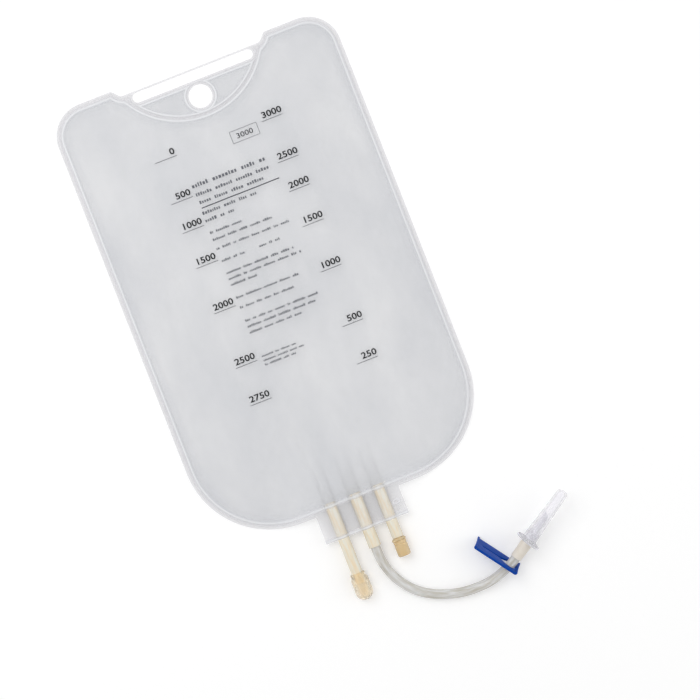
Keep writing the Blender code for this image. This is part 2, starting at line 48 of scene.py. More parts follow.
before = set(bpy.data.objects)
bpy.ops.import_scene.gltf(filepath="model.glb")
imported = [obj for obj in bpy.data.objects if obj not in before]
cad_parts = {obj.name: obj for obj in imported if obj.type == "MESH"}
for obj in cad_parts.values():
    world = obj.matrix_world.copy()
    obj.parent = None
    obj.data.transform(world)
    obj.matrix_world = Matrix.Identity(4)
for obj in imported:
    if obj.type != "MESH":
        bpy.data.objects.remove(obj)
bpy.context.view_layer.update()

# Clearance between pieces, as in the solids
GAP = 0.0003

# Bag outline, as in the solids
BAG_WIDTH = 0.240
BAG_LENGTH = 0.3745
TOP_CORNER_RADIUS = 0.027
BOTTOM_CORNER_RADIUS = 0.070
SHOULDER_DROP = 0.0064
HANGER_EDGE_WIDTH = 0.1165
SHOULDER_STEP_WIDTH = 0.008
WELD_WIDTH = 0.0048
FILM_THICKNESS = 0.0004
FILM_SAG = 0.003
SAG_RUN = 0.055
SLOT_LENGTH = 0.102
SLOT_WIDTH = 0.008
SLOT_FROM_TOP = 0.012
HANGING_HOLE_RADIUS = 0.0094
HOLE_FROM_TOP = 0.0292
ARC_WELD_RADIUS = 0.0644
ARC_WELD_FROM_TOP = 0.0437

# Welds that only show: their widths round the slot and the hole, half the arc's width, how deep they are
# pressed, and how high the marks on the plate stand
SLOT_WELD = 0.0032
HOLE_WELD = 0.0029
ARC_WELD_HALF = 0.0020
WELD_PRESS = 0.00004
EMBOSS_HEIGHT = 0.0002
# Over what width a weld gives way to free film, the widths of the lines that the welds of the pouch, the
# hanger and the plate leave, and how far up the plate its line lies
WELD_EDGE = 0.0018
POUCH_LINE = 0.0012
HANGER_LINE = 0.0010
PLATE_LINE = 0.0011
PLATE_LINE_UP = 0.0013

# Port plate and ports, as in the solids
PLATE_WIDTH = 0.070
PLATE_OFFSET = -0.0018
PLATE_RISE_RUN = 0.052
PLATE_RISE_SIDE = 0.040
PLATE_RISE = 0.00555
TUNNEL_SLOPE = math.radians(60)
TOP_Y = 0.22465
BOTTOM_Y = TOP_Y - BAG_LENGTH
PLATE_Y = BOTTOM_Y - 0.0227
TUBE_TOP_Y = BOTTOM_Y + 0.007
ARC_CENTRE_Y = TOP_Y - ARC_WELD_FROM_TOP + ARC_WELD_RADIUS
PORT_AXIS_Z = 0.0061
ADMIN_X = -0.0225
FILL_X = -0.0015
INJECTION_X = 0.0180
# Each port tube's piece, its middle, outer and inner diameters, and how far it stands out of the plate
PORT_TUBES = (
    ("admin_port_tubing", ADMIN_X, 0.0092, 0.0066, 0.0380),
    ("fill_port_tubing", FILL_X, 0.0100, 0.0083, 0.0155),
    ("injection_port_tubing", INJECTION_X, 0.0092, 0.0066, 0.0150),
)

# Spike set: rear face of the flange, its heading, pitch and roll
SPIKE_PLACE = (0.1116, -0.2279, 0.01238)
SPIKE_ANGLE = math.radians(33.8)
SPIKE_PITCH = math.radians(7)
SPIKE_ROLL = math.radians(-65)

# Clamp: the hose passes its eye at this point of the route
CLAMP_ROUTE_POINT = 18
CLAMP_ANGLE = math.radians(35.5)
CLAMP_LEAN = math.radians(22)
KEYHOLE_EYE_RADIUS = 0.0048
KEYHOLE_SLIT_HALF = 0.0007

# Route of the fill tube, as in the solids
FILL_TUBE_DIAMETER = 0.0077
FILL_TUBE_BORE = 0.0050
FILL_TUBE_ROUTE = (
    (-0.0015, -0.1740, 0.0061), (-0.0015, -0.1810, 0.0061), (-0.0015, -0.1880, 0.0061),
    (-0.0014, -0.1940, 0.0060), (-0.0009, -0.2000, 0.0056), (0.0006, -0.2070, 0.0050),
    (0.0032, -0.2145, 0.0044), (0.0075, -0.2223, 0.0040), (0.0135, -0.2298, 0.0039),
    (0.0215, -0.2364, 0.0039), (0.0310, -0.2416, 0.0039), (0.0410, -0.2452, 0.0039),
    (0.0510, -0.2473, 0.0040), (0.0610, -0.2480, 0.0043), (0.0710, -0.2474, 0.0053),
    (0.0790, -0.2455, 0.0070), (0.0850, -0.2434, 0.0083), (0.0887, -0.2418, 0.0090),
    (0.0923, -0.2401, 0.0096), (0.0955, -0.2384, 0.0101), (0.0988, -0.23645, 0.0105),
    (0.1045, -0.23265, 0.01135),
)
ROUTE_STEPS = 8
# Neck of the tube in the clamp: the share of its height that is left, how far that goes, and how far it eases
NECK_SHARE = 0.12
NECK_HALF = 0.0020
NECK_RUN = 0.0070
# The sleeve over the neck, left round: how far it reaches either way, and twice its wall
SLEEVE_REACH = 0.0090
SLEEVE_WALLS = 0.0006

# Sides of a hose and of a turned piece
HOSE_SIDES = 40
TURNED_SIDES = 72

# Printed scale in millimetres: heights of its rows, then for each column the right edge of its numerals, the
# ends of its rules and the numerals
SCALE_ROWS = (162.8, 127.6, 103.0, 73.2, 34.6, -12.0, -43.8)
SCALE_COLUMNS = (
    (-35.2, -53.0, -34.6, ("0", "500", "1000", "1500", "2000", "2500", "2750")),
    (56.0, 37.8, 55.5, ("3000", "2500", "2000", "1500", "1000", "500", "250")),
)
RULE_DROP = 0.0046
# How much bolder the scale's numerals are than the font, as a share of its size, and how much wider all are
NUMERAL_WEIGHT = 0.018
NUMERAL_STRETCH = 1.2
# The capacity: its height, its middle, and the left, right, low, high and line of the box round it
CAPACITY_HEIGHT = 0.0042
CAPACITY_MIDDLE = (0.0220, 0.1550)
CAPACITY_BOX = (0.0105, 0.0335, 0.1500, 0.1600, 0.0003)
# Left, right, low and high of the rule across the label
LABEL_RULE = (-0.0315, 0.0345, 0.1113, 0.1121)
# How far the ink lies off the film, and what it has below its own thickness
INK_CLEARANCE = 0.00002
INK_BED = 0.00005
# Start, end, middle and height in millimetres of each row of blocks that stands where a label has its wording
WORD_ROWS = (
    (-32.5, 30, 130.4, 3.2), (-32, 31, 123.0, 2.6), (-31.5, 24, 116.4, 2.6), (-32.5, 14, 107.6, 2.6),
    (-32.5, -8, 101.3, 2.6), (-32.5, -6, 91.0, 2.0), (-32.5, 18, 85.0, 2.0), (-32.5, 30, 77.4, 2.0),
    (-32, -12, 67.0, 2.0), (0, 18, 67.0, 2.0), (-32, 26, 56.6, 2.0), (-32, 30, 51.6, 2.0),
    (-32, -6, 46.6, 2.0), (-32, 22, 35.6, 2.0), (-32, 18, 27.2, 2.0), (-32, 30, 16.0, 2.0),
    (-32, 26, 11.0, 2.0), (-32, 12, 6.0, 2.0), (-30, 0, -15.0, 1.6), (-30, 4, -18.6, 1.6),
    (-30, -4, -22.2, 1.6),
)

# Rings of the films' mesh along each weld: in from the outline, and off the slot, the hole and the arc
OUTLINE_RINGS = (
    0.0005, 0.0010, 0.0018, 0.0028, 0.0037, 0.0042, 0.00455, 0.0048, 0.00505, 0.0054, 0.0060, 0.0070,
)
SLOT_RINGS = (0.0005, 0.0011, 0.0018, 0.0025, 0.0029, 0.0032, 0.0035, 0.0040, 0.0048)
HOLE_RINGS = (0.0005, 0.0011, 0.0018, 0.0024, 0.0027, 0.0029, 0.0031, 0.0034, 0.0040, 0.0048)
ARC_RINGS = (0, 0.001, 0.0014, 0.0017, 0.002, 0.0023, 0.0026, 0.0031, 0.0038)

# Each piece: the body that it rides on, its material slot and the node that it stands for, if any
PIECES = {
    "fill_tube_hose": ("bag", "fill_tubing", "fill_tube"),
    "fill_tube_pinch": ("bag", "fill_tubing"),
    "back_film_sheet": ("bag", "bag_film", "back_film"),
    "front_film_sheet": ("bag", "bag_film", "front_film"),
    "scale_numerals": ("bag", "bag_film"),
    "scale_rules": ("bag", "bag_film"),
    "label_bars": ("bag", "bag_film"),
    "admin_port_tubing": ("bag", "port_tubing", "admin_port_tube"),
    "fill_port_tubing": ("bag", "port_tubing", "fill_port_tube"),
    "injection_port_tubing": ("bag", "port_tubing", "injection_port_tube"),
    "admin_membrane_web": ("bag", "port_tubing", "admin_membrane"),
    "admin_cap_shell": ("admin_cap", "port_cap", "admin_cap"),
    "injection_collar_ring": ("bag", "amber_plastic", "injection_collar"),
    "injection_cap_shell": ("bag", "amber_plastic", "injection_cap"),
    "injection_septum_plug": ("bag", "septum_rubber", "injection_septum"),
    "adapter_sleeve": ("bag", "adapter_plastic", "tube_adapter"),
    "spike_moulding": ("bag", "spike_plastic", "filling_spike"),
    "cover_sheath": ("spike_cover", "cover_plastic", "spike_cover"),
    "clamp_plate": ("slide_clamp", "clamp_plastic", "slide_clamp"),
}

# Plastics: lighter and deeper tone, roughness, size of the skin's grain and its relief, size of the clouds,
# then IOR, specular level, how much light goes through, and alpha
PLASTICS = {
    # Tubing out of a long die: pale straw and cloudy, glossy, with long lines down it
    "extruded EVA tubing": ("FFFEF2", "FFEAC4", 0.1, 0.0012, 0.00012, 0.45, 1.52, 0.5, 0.12, 1.0),
    # The same straw out of a mould: even and satin
    "moulded EVA": ("FFF6DE", "FFEFCC", 0.24, 0.0012, 0.00001, 0.006, 1.48, 0.5, 0.12, 1.0),
    # Clear straw that gathers its amber where it is thick
    "moulded port cap": ("FFF7E6", "FEEDCC", 0.14, 0.0014, 0.00001, 0.004, 1.5, 0.5, 0.85, 0.7),
    # Clear, glossy and deep in colour
    "amber polycarbonate": ("FFEFC8", "FFDB96", 0.12, 0.002, 0.00001, 0.005, 1.58, 0.5, 0.3, 0.75),
    # Matt tan with a fine bloom
    "isoprene rubber": ("E4CFA8", "D8BF96", 0.75, 0.0006, 0.00003, 0.003, 1.52, 0.5, 0.0, 1.0),
    # Hose out of a long die: milky clear and glossy, with long lines down it
    "extruded soft tubing": ("FFFFFF", "DDD8CC", 0.12, 0.0016, 0.00012, 0.4, 1.45, 0.5, 0.3, 1.0),
    # Royal blue, satin from the spark-eroded face of its mould
    "moulded polypropylene": ("0048AC", "003E98", 0.36, 0.0007, 0.00001, 0.009, 1.49, 0.1, 0.0, 1.0),
    # Opaque cream vinyl: an even satin with a little shade in it
    "moulded cream vinyl": ("EFE9DF", "E4DACB", 0.36, 0.001, 0.00002, 0.005, 1.5, 0.5, 0.0, 1.0),
    # Grey-white and half clear, from a frosted mould
    "frosted ABS": ("FCFCFF", "F3F2F8", 0.26, 0.0009, 0.00001, 0.004, 1.52, 0.5, 0.4, 0.75),
    # A thin blown sheath: milky with a lilac cast, waxy on its face
    "milky polyethylene": ("FDFCFF", "F6F5FB", 0.24, 0.0011, 0.00001, 0.008, 1.35, 0.5, 0.7, 0.45),
}

# Camera straight above: the picture's right and up on the floor, and the middle of what it sees
VIEW_RIGHT = Vector((0.9307, -0.3657, 0.0)).normalized()
VIEW_UP = Vector((0.3657, 0.9307, 0.0)).normalized()
VIEW_MIDDLE = (0.0368, -0.0359)
LENS = 100
FLOOR_REACH = 4.0
FLOOR_DROP = 0.00015
# Each softbox: its place, its size and the setting that holds its power
SOFTBOXES = (
    ("softbox above", (-0.55, 0.75, 1.5), 1.3, "key_power"),
    ("softbox beside", (1.3, -0.5, 0.9), 1.0, "fill_power"),
)


# Colours and nodes


def linear(hex_code):
    """An sRGB hex colour as a linear colour with full alpha."""
    values = [int(hex_code[start : start + 2], 16) / 255 for start in (0, 2, 4)]
    return (*[v / 12.92 if v <= 0.04045 else ((v + 0.055) / 1.055) ** 2.4 for v in values], 1.0)


def set_node(tree, node, settings=None, links=None):
    """Gives a node its settings and input values, and links sockets to its inputs."""
    for name, value in (settings or {}).items():
        if isinstance(name, str) and hasattr(node, name):
            setattr(node, name, value)
        else:
            node.inputs[name].default_value = value
    for name, socket in (links or {}).items():
        tree.links.new(socket, node.inputs[name])
    return node


def add_node(tree, kind, settings=None, links=None):
    """Adds a node of a kind, with its settings and links."""
    return set_node(tree, tree.nodes.new(kind), settings, links)


def new_material(name):
    """An empty material with its Principled shader and its object coordinates."""
    material = bpy.data.materials.new(name)
    material.use_nodes = True
    tree = material.node_tree
    place = add_node(tree, "ShaderNodeTexCoord").outputs["Object"]
    return material, tree, tree.nodes["Principled BSDF"], place


def moulded(name, extruded=False):
    """A plastic from the table: two close tones in soft clouds, with a fine skin.

    An extruded one has its tones and its relief in long lines down the tube instead, and the size of its
    clouds is a line's width as a share of the tube's radius.
    """
    pale, deep, roughness, grain, relief, cloud, ior, specular, through, alpha = PLASTICS[name]
    material, tree, shader, place = new_material(name)
    spread, margin = place, 0.0
    if extruded:
        spread = add_node(tree, "ShaderNodeAttribute", {"attribute_name": "round"}).outputs["Vector"]
        margin = 0.3
    noises = [
        add_node(tree, "ShaderNodeTexNoise", {"Scale": 1 / size, "Detail": detail}, {"Vector": where})
        for size, detail, where in ((cloud, 2.0, spread), (grain, 3.0, place))
    ]
    clouds, skin = (noise.outputs["Fac"] for noise in noises)
    ends = {"From Min": margin, "From Max": 1 - margin}
    share = add_node(tree, "ShaderNodeMapRange", ends, {"Value": clouds}).outputs["Result"]
    tones = {"data_type": "RGBA", 6: linear(pale), 7: linear(deep)}
    tone = add_node(tree, "ShaderNodeMix", tones, {0: share}).outputs[2]
    ends = {"To Min": roughness * 0.85, "To Max": roughness * 1.2}
    gloss = add_node(tree, "ShaderNodeMapRange", ends, {"Value": skin}).outputs["Result"]
    height = {"Height": clouds if extruded else skin}
    bump = add_node(tree, "ShaderNodeBump", {"Strength": 1.0, "Distance": relief}, height).outputs["Normal"]
    values = {"IOR": ior, "Specular IOR Level": specular, "Transmission Weight": through, "Alpha": alpha}
    set_node(tree, shader, values, {"Base Color": tone, "Roughness": gloss, "Normal": bump})
    return material


def eva_film(settings):
    """Calendered EVA film: a milky, faintly blue sheet, clearer in its welds, and white along their lines:
    partly the beads' own haze, partly a painted highlight where they catch the light.
    """
    material, tree, shader, place = new_material("calendered EVA film")
    weld, band = (
        add_node(tree, "ShaderNodeAttribute", {"attribute_name": name}).outputs["Fac"]
        for name in ("weld", "band")
    )
    # Broad soft clouds, 45 mm across and twice as long, where the film lies closer or further off
    longer = add_node(tree, "ShaderNodeMapping", {"Scale": (1.0, 0.5, 1.0)}, {"Vector": place})
    clouds = {"Scale": 1 / 0.045, "Detail": 2.5, "Roughness": 0.5}
    streaks = add_node(tree, "ShaderNodeTexNoise", clouds, {"Vector": longer.outputs[0]}).outputs["Fac"]
    tones = {"data_type": "RGBA", 6: (*settings.film_shade, 1.0), 7: (*settings.film_colour, 1.0)}
    tone = add_node(tree, "ShaderNodeMix", tones, {0: streaks}).outputs[2]
    milk = settings.film_milk
    ends = {"From Min": 0.3, "From Max": 0.7, "To Min": milk + 0.04, "To Max": milk - 0.04}
    alpha = add_node(tree, "ShaderNodeMapRange", ends, {"Value": streaks}).outputs["Result"]
    # The welded band hides 11 % of what lies behind it, and the line beside it 65 %; the line's near-white is
    # partly the bead's haze and partly painted highlight
    for share, colour, hidden in (
        (band, (*settings.weld_band_colour, 1.0), 0.11),
        (weld, linear("FCFDFF"), 0.65),
    ):
        tones = {"data_type": "RGBA", 7: colour}
        tone = add_node(tree, "ShaderNodeMix", tones, {0: share, 6: tone}).outputs[2]
        alpha = add_node(tree, "ShaderNodeMix", {3: hidden}, {0: share, 2: alpha}).outputs[0]
    # The calender's fine satin, 0.4 mm so that it shows
    satin = add_node(tree, "ShaderNodeTexNoise", {"Scale": 1 / 0.0004, "Detail": 2.0}, {"Vector": place})
    satin = satin.outputs["Fac"]
    gloss = add_node(tree, "ShaderNodeMapRange", {"To Min": 0.26, "To Max": 0.42}, {"Value": satin})
    bump = add_node(tree, "ShaderNodeBump", {"Strength": 0.6, "Distance": 0.00002}, {"Height": satin})
    links = {
        "Base Color": tone,
        "Alpha": alpha,
        "Roughness": gloss.outputs["Result"],
        "Normal": bump.outputs["Normal"],
    }
    set_node(tree, shader, {"IOR": 1.48}, links)
    return material


def screen_ink(name, colour, worn):
    """Screen-printed ink on film: a matt film of pigment that is thin in places."""
    material, tree, shader, place = new_material(name)
    wear = add_node(tree, "ShaderNodeTexNoise", {"Scale": 1 / 0.0012, "Detail": 3.0}, {"Vector": place})
    wear = wear.outputs["Fac"]
    tones = {"data_type": "RGBA", 6: linear(colour), 7: linear(worn)}
    tone = add_node(tree, "ShaderNodeMix", tones, {0: wear}).outputs[2]
    gloss = add_node(tree, "ShaderNodeMapRange", {"To Min": 0.45, "To Max": 0.65}, {"Value": wear})
    links = {"Base Color": tone, "Roughness": gloss.outputs["Result"]}
    set_node(tree, shader, {"Specular IOR Level": 0.15}, links)
    return material


# Shapes


def smooth_step(value):
    """0 up to 0, 1 from 1 on, and v * v * (3 - 2 v) between."""
    value = np.clip(value, 0.0, 1.0)
    return value * value * (3 - 2 * value)


def bell(value, width):
    """A rounded ridge: exp(-(value / width) squared)."""
    return np.exp(-((value / width) ** 2))


def arc(centre, radius, start_deg, end_deg, steps):
    """Points on an arc: centre + radius * (cos a, sin a), both ends included."""
    angle = np.radians(np.linspace(start_deg, end_deg, steps + 1))
    return np.array(centre) + radius * np.stack([np.cos(angle), np.sin(angle)], axis=1)


def spaced(loop, step):
    """Points every `step` along a closed loop, its corners kept by starting each side afresh."""
    ends = np.roll(loop, -1, axis=0)
    sides = []
    for start, end in zip(loop, ends):
        count = max(1, round(float(np.linalg.norm(end - start)) / step))
        sides.append(start + (end - start) * (np.arange(count) / count)[:, None])
    return np.concatenate(sides)


def crossings(columns, rows):
    """Every crossing of some columns and rows, as points."""
    return np.stack(np.meshgrid(columns, rows), axis=2).reshape(-1, 2)


def inward(loop):
    """Unit normals of a counter-clockwise loop, to its inside: its tangent turned a quarter left."""
    along = np.roll(loop, -1, axis=0) - np.roll(loop, 1, axis=0)
    along /= np.linalg.norm(along, axis=1, keepdims=True)
    return np.stack([-along[:, 1], along[:, 0]], axis=1)


def distance_to(points, loop):
    """The distance from each point to the nearest side of a closed loop."""
    start = loop
    side = np.roll(loop, -1, axis=0) - start
    length2 = (side**2).sum(axis=1)
    found = []
    for part in np.array_split(points, max(1, len(points) // 1500)):
        off = part[:, None, :] - start[None]
        share = np.clip((off * side).sum(axis=2) / length2, 0.0, 1.0)
        found.append(np.linalg.norm(off - share[:, :, None] * side, axis=2).min(axis=1))
    return np.concatenate(found)


def bag_outline(with_plate):
    """The films' outline, counter-clockwise: rounded corners joined to the hanger edge by a soft step."""
    half = BAG_WIDTH / 2
    share = np.linspace(0, 1, 13)
    step_x = HANGER_EDGE_WIDTH / 2 + (1 - share) * SHOULDER_STEP_WIDTH
    bottom_corner = (half - BOTTOM_CORNER_RADIUS, BOTTOM_Y + BOTTOM_CORNER_RADIUS)
    right = np.concatenate(
        [
            arc(bottom_corner, BOTTOM_CORNER_RADIUS, -90, 0, 48),
            arc((half - TOP_CORNER_RADIUS, TOP_Y - TOP_CORNER_RADIUS), TOP_CORNER_RADIUS, 0, 90, 24),
            np.stack([step_x, TOP_Y - SHOULDER_DROP * smooth_step(share)], axis=1),
        ]
    )
    left = right[::-1] * (-1.0, 1.0)
    if not with_plate:
        return np.concatenate([right, left])
    plate_left = PLATE_OFFSET - PLATE_WIDTH / 2
    plate_right = PLATE_OFFSET + PLATE_WIDTH / 2
    low = np.array([(plate_left, PLATE_Y), (plate_right, PLATE_Y), (plate_right, BOTTOM_Y)])
    return np.concatenate([low, right, left, [(plate_left, BOTTOM_Y)]])


def slot_outline():
    """The hanging slot: two half circles, joined."""
    reach = (SLOT_LENGTH - SLOT_WIDTH) / 2
    y = TOP_Y - SLOT_FROM_TOP
    ends = ((reach, -90, 90), (-reach, 90, 270))
    return np.concatenate([arc((x, y), SLOT_WIDTH / 2, start, end, 16) for x, start, end in ends])


def hole_outline():
    """The hanging hole: a circle."""
    return arc((0.0, TOP_Y - HOLE_FROM_TOP), HANGING_HOLE_RADIUS, 0, 360, 72)[:-1]


def tunnel_height(x):
    """How far a film stands off the weld plane over the port tubes, at a distance d from a tube's axis.

    sqrt(r * r - d * d) over the crown, and (r / sin s - d) * tan s down its straight flanks of slope s.
    """
    height = np.zeros_like(x)
    for _, centre, outer, _, _ in PORT_TUBES:
        radius = outer / 2 + GAP / 2
        off = np.abs(x - centre)
        crown = np.sqrt(np.maximum(radius**2 - off**2, 0.0))
        flank = (radius / math.sin(TUNNEL_SLOPE) - off) * math.tan(TUNNEL_SLOPE)
        height = np.maximum(height, np.where(off < radius * math.sin(TUNNEL_SLOPE), crown, flank))
    return height


def plate_share(y):
    """1 over the port plate and the tubes' ends, fading to 0 up the bag."""
    return smooth_step((TUBE_TOP_Y + GAP + PLATE_RISE_RUN - y) / PLATE_RISE_RUN)


def weld_rise(x, y):
    """How far the weld plane is lifted towards the port plate."""
    beside = np.abs(x - PLATE_OFFSET) - PLATE_WIDTH / 2
    return PLATE_RISE * plate_share(y) * (1 - smooth_step(beside / PLATE_RISE_SIDE))


def sag(x, y):
    """How far the front film stands off the back film inside the welds: a soft step in from every weld."""
    distances = (
        BAG_WIDTH / 2 - WELD_WIDTH - np.abs(x),
        y - BOTTOM_Y - WELD_WIDTH,
        TOP_Y - WELD_WIDTH - y,
        np.hypot(x, y - ARC_CENTRE_Y) - ARC_WELD_RADIUS - WELD_WIDTH / 2,
    )
    share = 1.0
    for distance in distances:
        share = share * smooth_step(distance / SAG_RUN)
    return FILM_SAG * share


def slack(x, y):
    """Low creases and swells of the free film, in metres: a few long waves that cross.

    Each is tall * sin(2 pi * across / long + phase + 1.2 sin(y / 70 mm + phase)), across being the distance
    along its turn.
    """
    # Each wave: its height, its length, its turn in degrees and its phase
    waves = (
        (0.00030, 0.052, 12, 0.3),
        (0.00022, 0.031, -24, 1.7),
        (0.00014, 0.019, 8, 2.2),
        (0.00010, 0.013, 33, 0.9),
    )
    height = np.zeros_like(x)
    for tall, long, turn, phase in waves:
        across = x * math.cos(math.radians(turn)) + y * math.sin(math.radians(turn)) * 0.55
        height += tall * np.sin(2 * math.pi * across / long + phase + 1.2 * np.sin(y / 0.07 + phase))
    return height


def front_face(x, y):
    """The height of the front film's printed face, away from its welds."""
    base = FILM_THICKNESS + GAP + weld_rise(x, y) + tunnel_height(x) * plate_share(y) + sag(x, y)
    return base + slack(x, y) * sag(x, y) / FILM_SAG + FILM_THICKNESS


class FilmField:
    """What the films need to know at each point of their shared flat pattern."""

    def __init__(self, x, y):
        points = np.stack([x, y], axis=1)
        self.x, self.y = x, y
        self.body = distance_to(points, spaced(bag_outline(False), 0.003))
        self.body = np.where(y < BOTTOM_Y, -self.body, self.body)
        self.slot = distance_to(points, slot_outline())
        self.hole = distance_to(points, hole_outline())
        off_arc = np.hypot(x, y - ARC_CENTRE_Y) - ARC_WELD_RADIUS
        self.pouch = self.softly(self.body - WELD_WIDTH, off_arc - ARC_WELD_HALF)
        hanger = self.softly(self.body - WELD_WIDTH, -off_arc - ARC_WELD_HALF)
        self.hanger = np.minimum(np.minimum(hanger, self.slot - SLOT_WELD), self.hole - HOLE_WELD)

    def softly(self, first, second, round_off=0.004):
        """The lower of two distances, with its corner rounded: a cubic blend within round_off."""
        share = np.maximum(round_off - np.abs(first - second), 0.0) / round_off
        return np.minimum(first, second) - share**3 * round_off / 6

    def free(self):
        """0 in a weld, 1 where the films are apart."""
        return smooth_step(np.maximum(self.pouch, self.hanger) / WELD_EDGE + 0.5)

    def lines(self):
        """1 on the lines that the welds leave: round the pouch, the hanger's pocket and the plate's foot,
        painted white there: partly the beads' haze, partly painted highlight.

        Inside the pouch's line the film rounds up from its weld, and is painted a little lighter for 5 mm: a
        painted highlight on that swell.
        """
        rims = np.maximum(bell(self.pouch, POUCH_LINE), bell(self.hanger, HANGER_LINE))
        # Painted highlight: a tenth of the weld lines' white, 4 mm wide and 3 mm inside the pouch's line,
        # where the swelling film catches the light
        rims = np.maximum(rims, 0.1 * bell(self.pouch - 0.003, 0.004))
        plate_line = bell(self.y - PLATE_Y - PLATE_LINE_UP, PLATE_LINE) * (self.y < BOTTOM_Y)
        # The pressed marks join the lines at 0.8 and are painted white like them: partly haze, partly painted
        # highlight
        return np.maximum(np.maximum(rims, plate_line), 0.8 * self.emboss())

    def emboss(self):
        """1 on the marks pressed into the port plate: an oval ring and two round studs at its right end."""
        oval = np.hypot((self.x - 0.0272) / 0.0027, (self.y + 0.1607) / 0.0016)
        marks = bell(oval - 1.0, 0.35)
        for x, y in ((0.0303, -0.1690), (0.0242, -0.1692)):
            marks = np.maximum(marks, bell(np.hypot(self.x - x, self.y - y), 0.0010))
        return marks


def film_pattern():
    """The flat pattern of both films: rings along every weld, a fine mesh at the ports, a grid between."""
    outline, slot, hole = spaced(bag_outline(True), 0.0022), spaced(slot_outline(), 0.0022), hole_outline()
    body = spaced(bag_outline(False), 0.0020)
    normal = inward(body)
    found = []
    for offset in OUTLINE_RINGS:
        ring = body + normal * offset
        found.append(ring[np.abs(distance_to(ring, body) - offset) < 0.00006])
    for loop, offsets in ((slot, SLOT_RINGS), (hole, HOLE_RINGS)):
        found += [loop - inward(loop) * offset for offset in offsets]
    spread = math.degrees(math.asin((HANGER_EDGE_WIDTH / 2 + 0.004) / ARC_WELD_RADIUS))
    for offset in ARC_RINGS:
        for side in (1, -1):
            radius = ARC_WELD_RADIUS + side * offset
            found.append(arc((0.0, ARC_CENTRE_Y), radius, -90 - spread, -90 + spread, 110))

    # Columns and rows over the ports, above them, and on the marks pressed into the plate
    round_tubes = np.sin(np.radians(np.linspace(-60, 60, 9)))
    crowns = [x + (outer / 2 + GAP / 2) * round_tubes for _, x, outer, _, _ in PORT_TUBES]
    port_x = np.unique(np.concatenate([np.arange(-0.0365, 0.0334, 0.0011), *crowns]))
    plate_line = PLATE_Y + np.array([0.0006, 0.0011, 0.0016, 0.0021, 0.0027])
    port_y = np.concatenate([plate_line, np.arange(PLATE_Y + 0.0036, BOTTOM_Y - 0.0004, 0.0013)])
    above_y = np.arange(BOTTOM_Y + 0.0085, TUBE_TOP_Y + PLATE_RISE_RUN + 0.004, 0.0024)
    marks_x, marks_y = np.arange(0.02365, 0.0325, 0.00045), np.arange(-0.17085, -0.1580, 0.00045)
    for columns, rows in ((port_x, port_y), (port_x, above_y), (marks_x, marks_y)):
        found.append(crossings(columns, rows))

    # A 3 mm grid where none of the above is near
    coarse = crossings(np.arange(-0.1185, 0.1186, 0.003), np.arange(BOTTOM_Y + 0.002, TOP_Y, 0.003))
    x, y = coarse[:, 0], coarse[:, 1]
    field = FilmField(x, y)
    clear = (np.abs(field.body) > 0.0082) & (field.slot > 0.006) & (field.hole > 0.006)
    clear &= np.abs(np.hypot(x, y - ARC_CENTRE_Y) - ARC_WELD_RADIUS) > 0.005
    over_ports = (x > -0.038) & (x < 0.035) & (y < above_y[-1] + 0.001)
    found.append(coarse[clear & ~over_ports])

    loops = [outline, slot, hole]
    inner = np.concatenate(found)
    rim_distance = np.min([distance_to(inner, loop) for loop in loops], axis=0)
    inner = inner[rim_distance > 0.00028]
    starts = np.cumsum([0] + [len(loop) for loop in loops])
    borders = [list(range(start, end)) for start, end in zip(starts, starts[1:])]
    every = [Vector(point) for point in np.concatenate([*loops, inner]).tolist()]
    inside_but_holes = 2
    flat, _, triangles, _, _, _ = delaunay_2d_cdt(every, [], borders, inside_but_holes, 1e-6)
    flat = np.array([tuple(point) for point in flat])
    used, triangles = np.unique(np.array(triangles), return_inverse=True)
    triangles = triangles.reshape(-1, 3)
    sides = np.concatenate([triangles[:, [0, 1]], triangles[:, [1, 2]], triangles[:, [2, 0]]])
    seen = {tuple(side) for side in sides.tolist()}
    rim = np.array(sorted(side for side in seen if side[::-1] not in seen))
    return flat[used], triangles, rim


# Building


def finish_mesh(name, verts, faces, material, angle=35):
    """A closed mesh with merged poles and outward faces, smooth but for edges sharper than `angle`."""
    mesh = bpy.data.meshes.new(name)
    mesh.from_pydata(np.asarray(verts).tolist(), [], faces)
    body = bmesh.new()
    body.from_mesh(mesh)
    bmesh.ops.remove_doubles(body, verts=body.verts, dist=1e-7)
    bmesh.ops.recalc_face_normals(body, faces=body.faces)
    body.to_mesh(mesh)
    body.free()
    mesh.shade_smooth()
    mesh.set_sharp_from_angle(angle=math.radians(angle))
    mesh.materials.append(material)
    return mesh


def mark_round(mesh, along, sides):
    """Marks each vertex of a tube with where it is round it and down it: (cos a, sin a, along / 30 mm)."""
    angle = np.linspace(0, 2 * math.pi, sides, endpoint=False)
    if len(mesh.vertices) != len(along) * sides:
        raise RuntimeError("the tube's rings are not whole")
    ring = np.stack([np.cos(angle), np.sin(angle)], axis=1)
    spots = np.column_stack([np.tile(ring, (len(along), 1)), np.repeat(along, sides) / 0.03])
    mesh.attributes.new("round", "FLOAT_VECTOR", "POINT").data.foreach_set("vector", spots.ravel())
    return mesh


def add_piece(name, mesh):
    """Puts a finished mesh in the scene as a piece that rides on its body and stands for its node."""
    body, slot, *nodes = PIECES[name]
    piece = bpy.data.objects.new(name, mesh)
    bpy.context.scene.collection.objects.link(piece)
    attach(piece, body)
    if nodes:
        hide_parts(*nodes)
    return piece


def along_axis(start, ahead):
    """The place whose local Z runs along a direction, with local X level and local Y as near up as can be."""
    side = Vector((0.0, 0.0, 1.0)).cross(ahead).normalized()
    up = ahead.cross(side)
    return Matrix.Translation(start) @ Matrix((side, up, ahead)).transposed().to_4x4()


def port_place(x):
    """Where a port's axis leaves the plate."""
    return along_axis((x, PLATE_Y, PORT_AXIS_Z), Vector((0.0, -1.0, 0.0)))


def placed(verts, place):
    """Vertices carried from a piece's own axes to its place on the object."""
    turn = np.array(place)
    return np.asarray(verts) @ turn[:3, :3].T + turn[:3, 3]


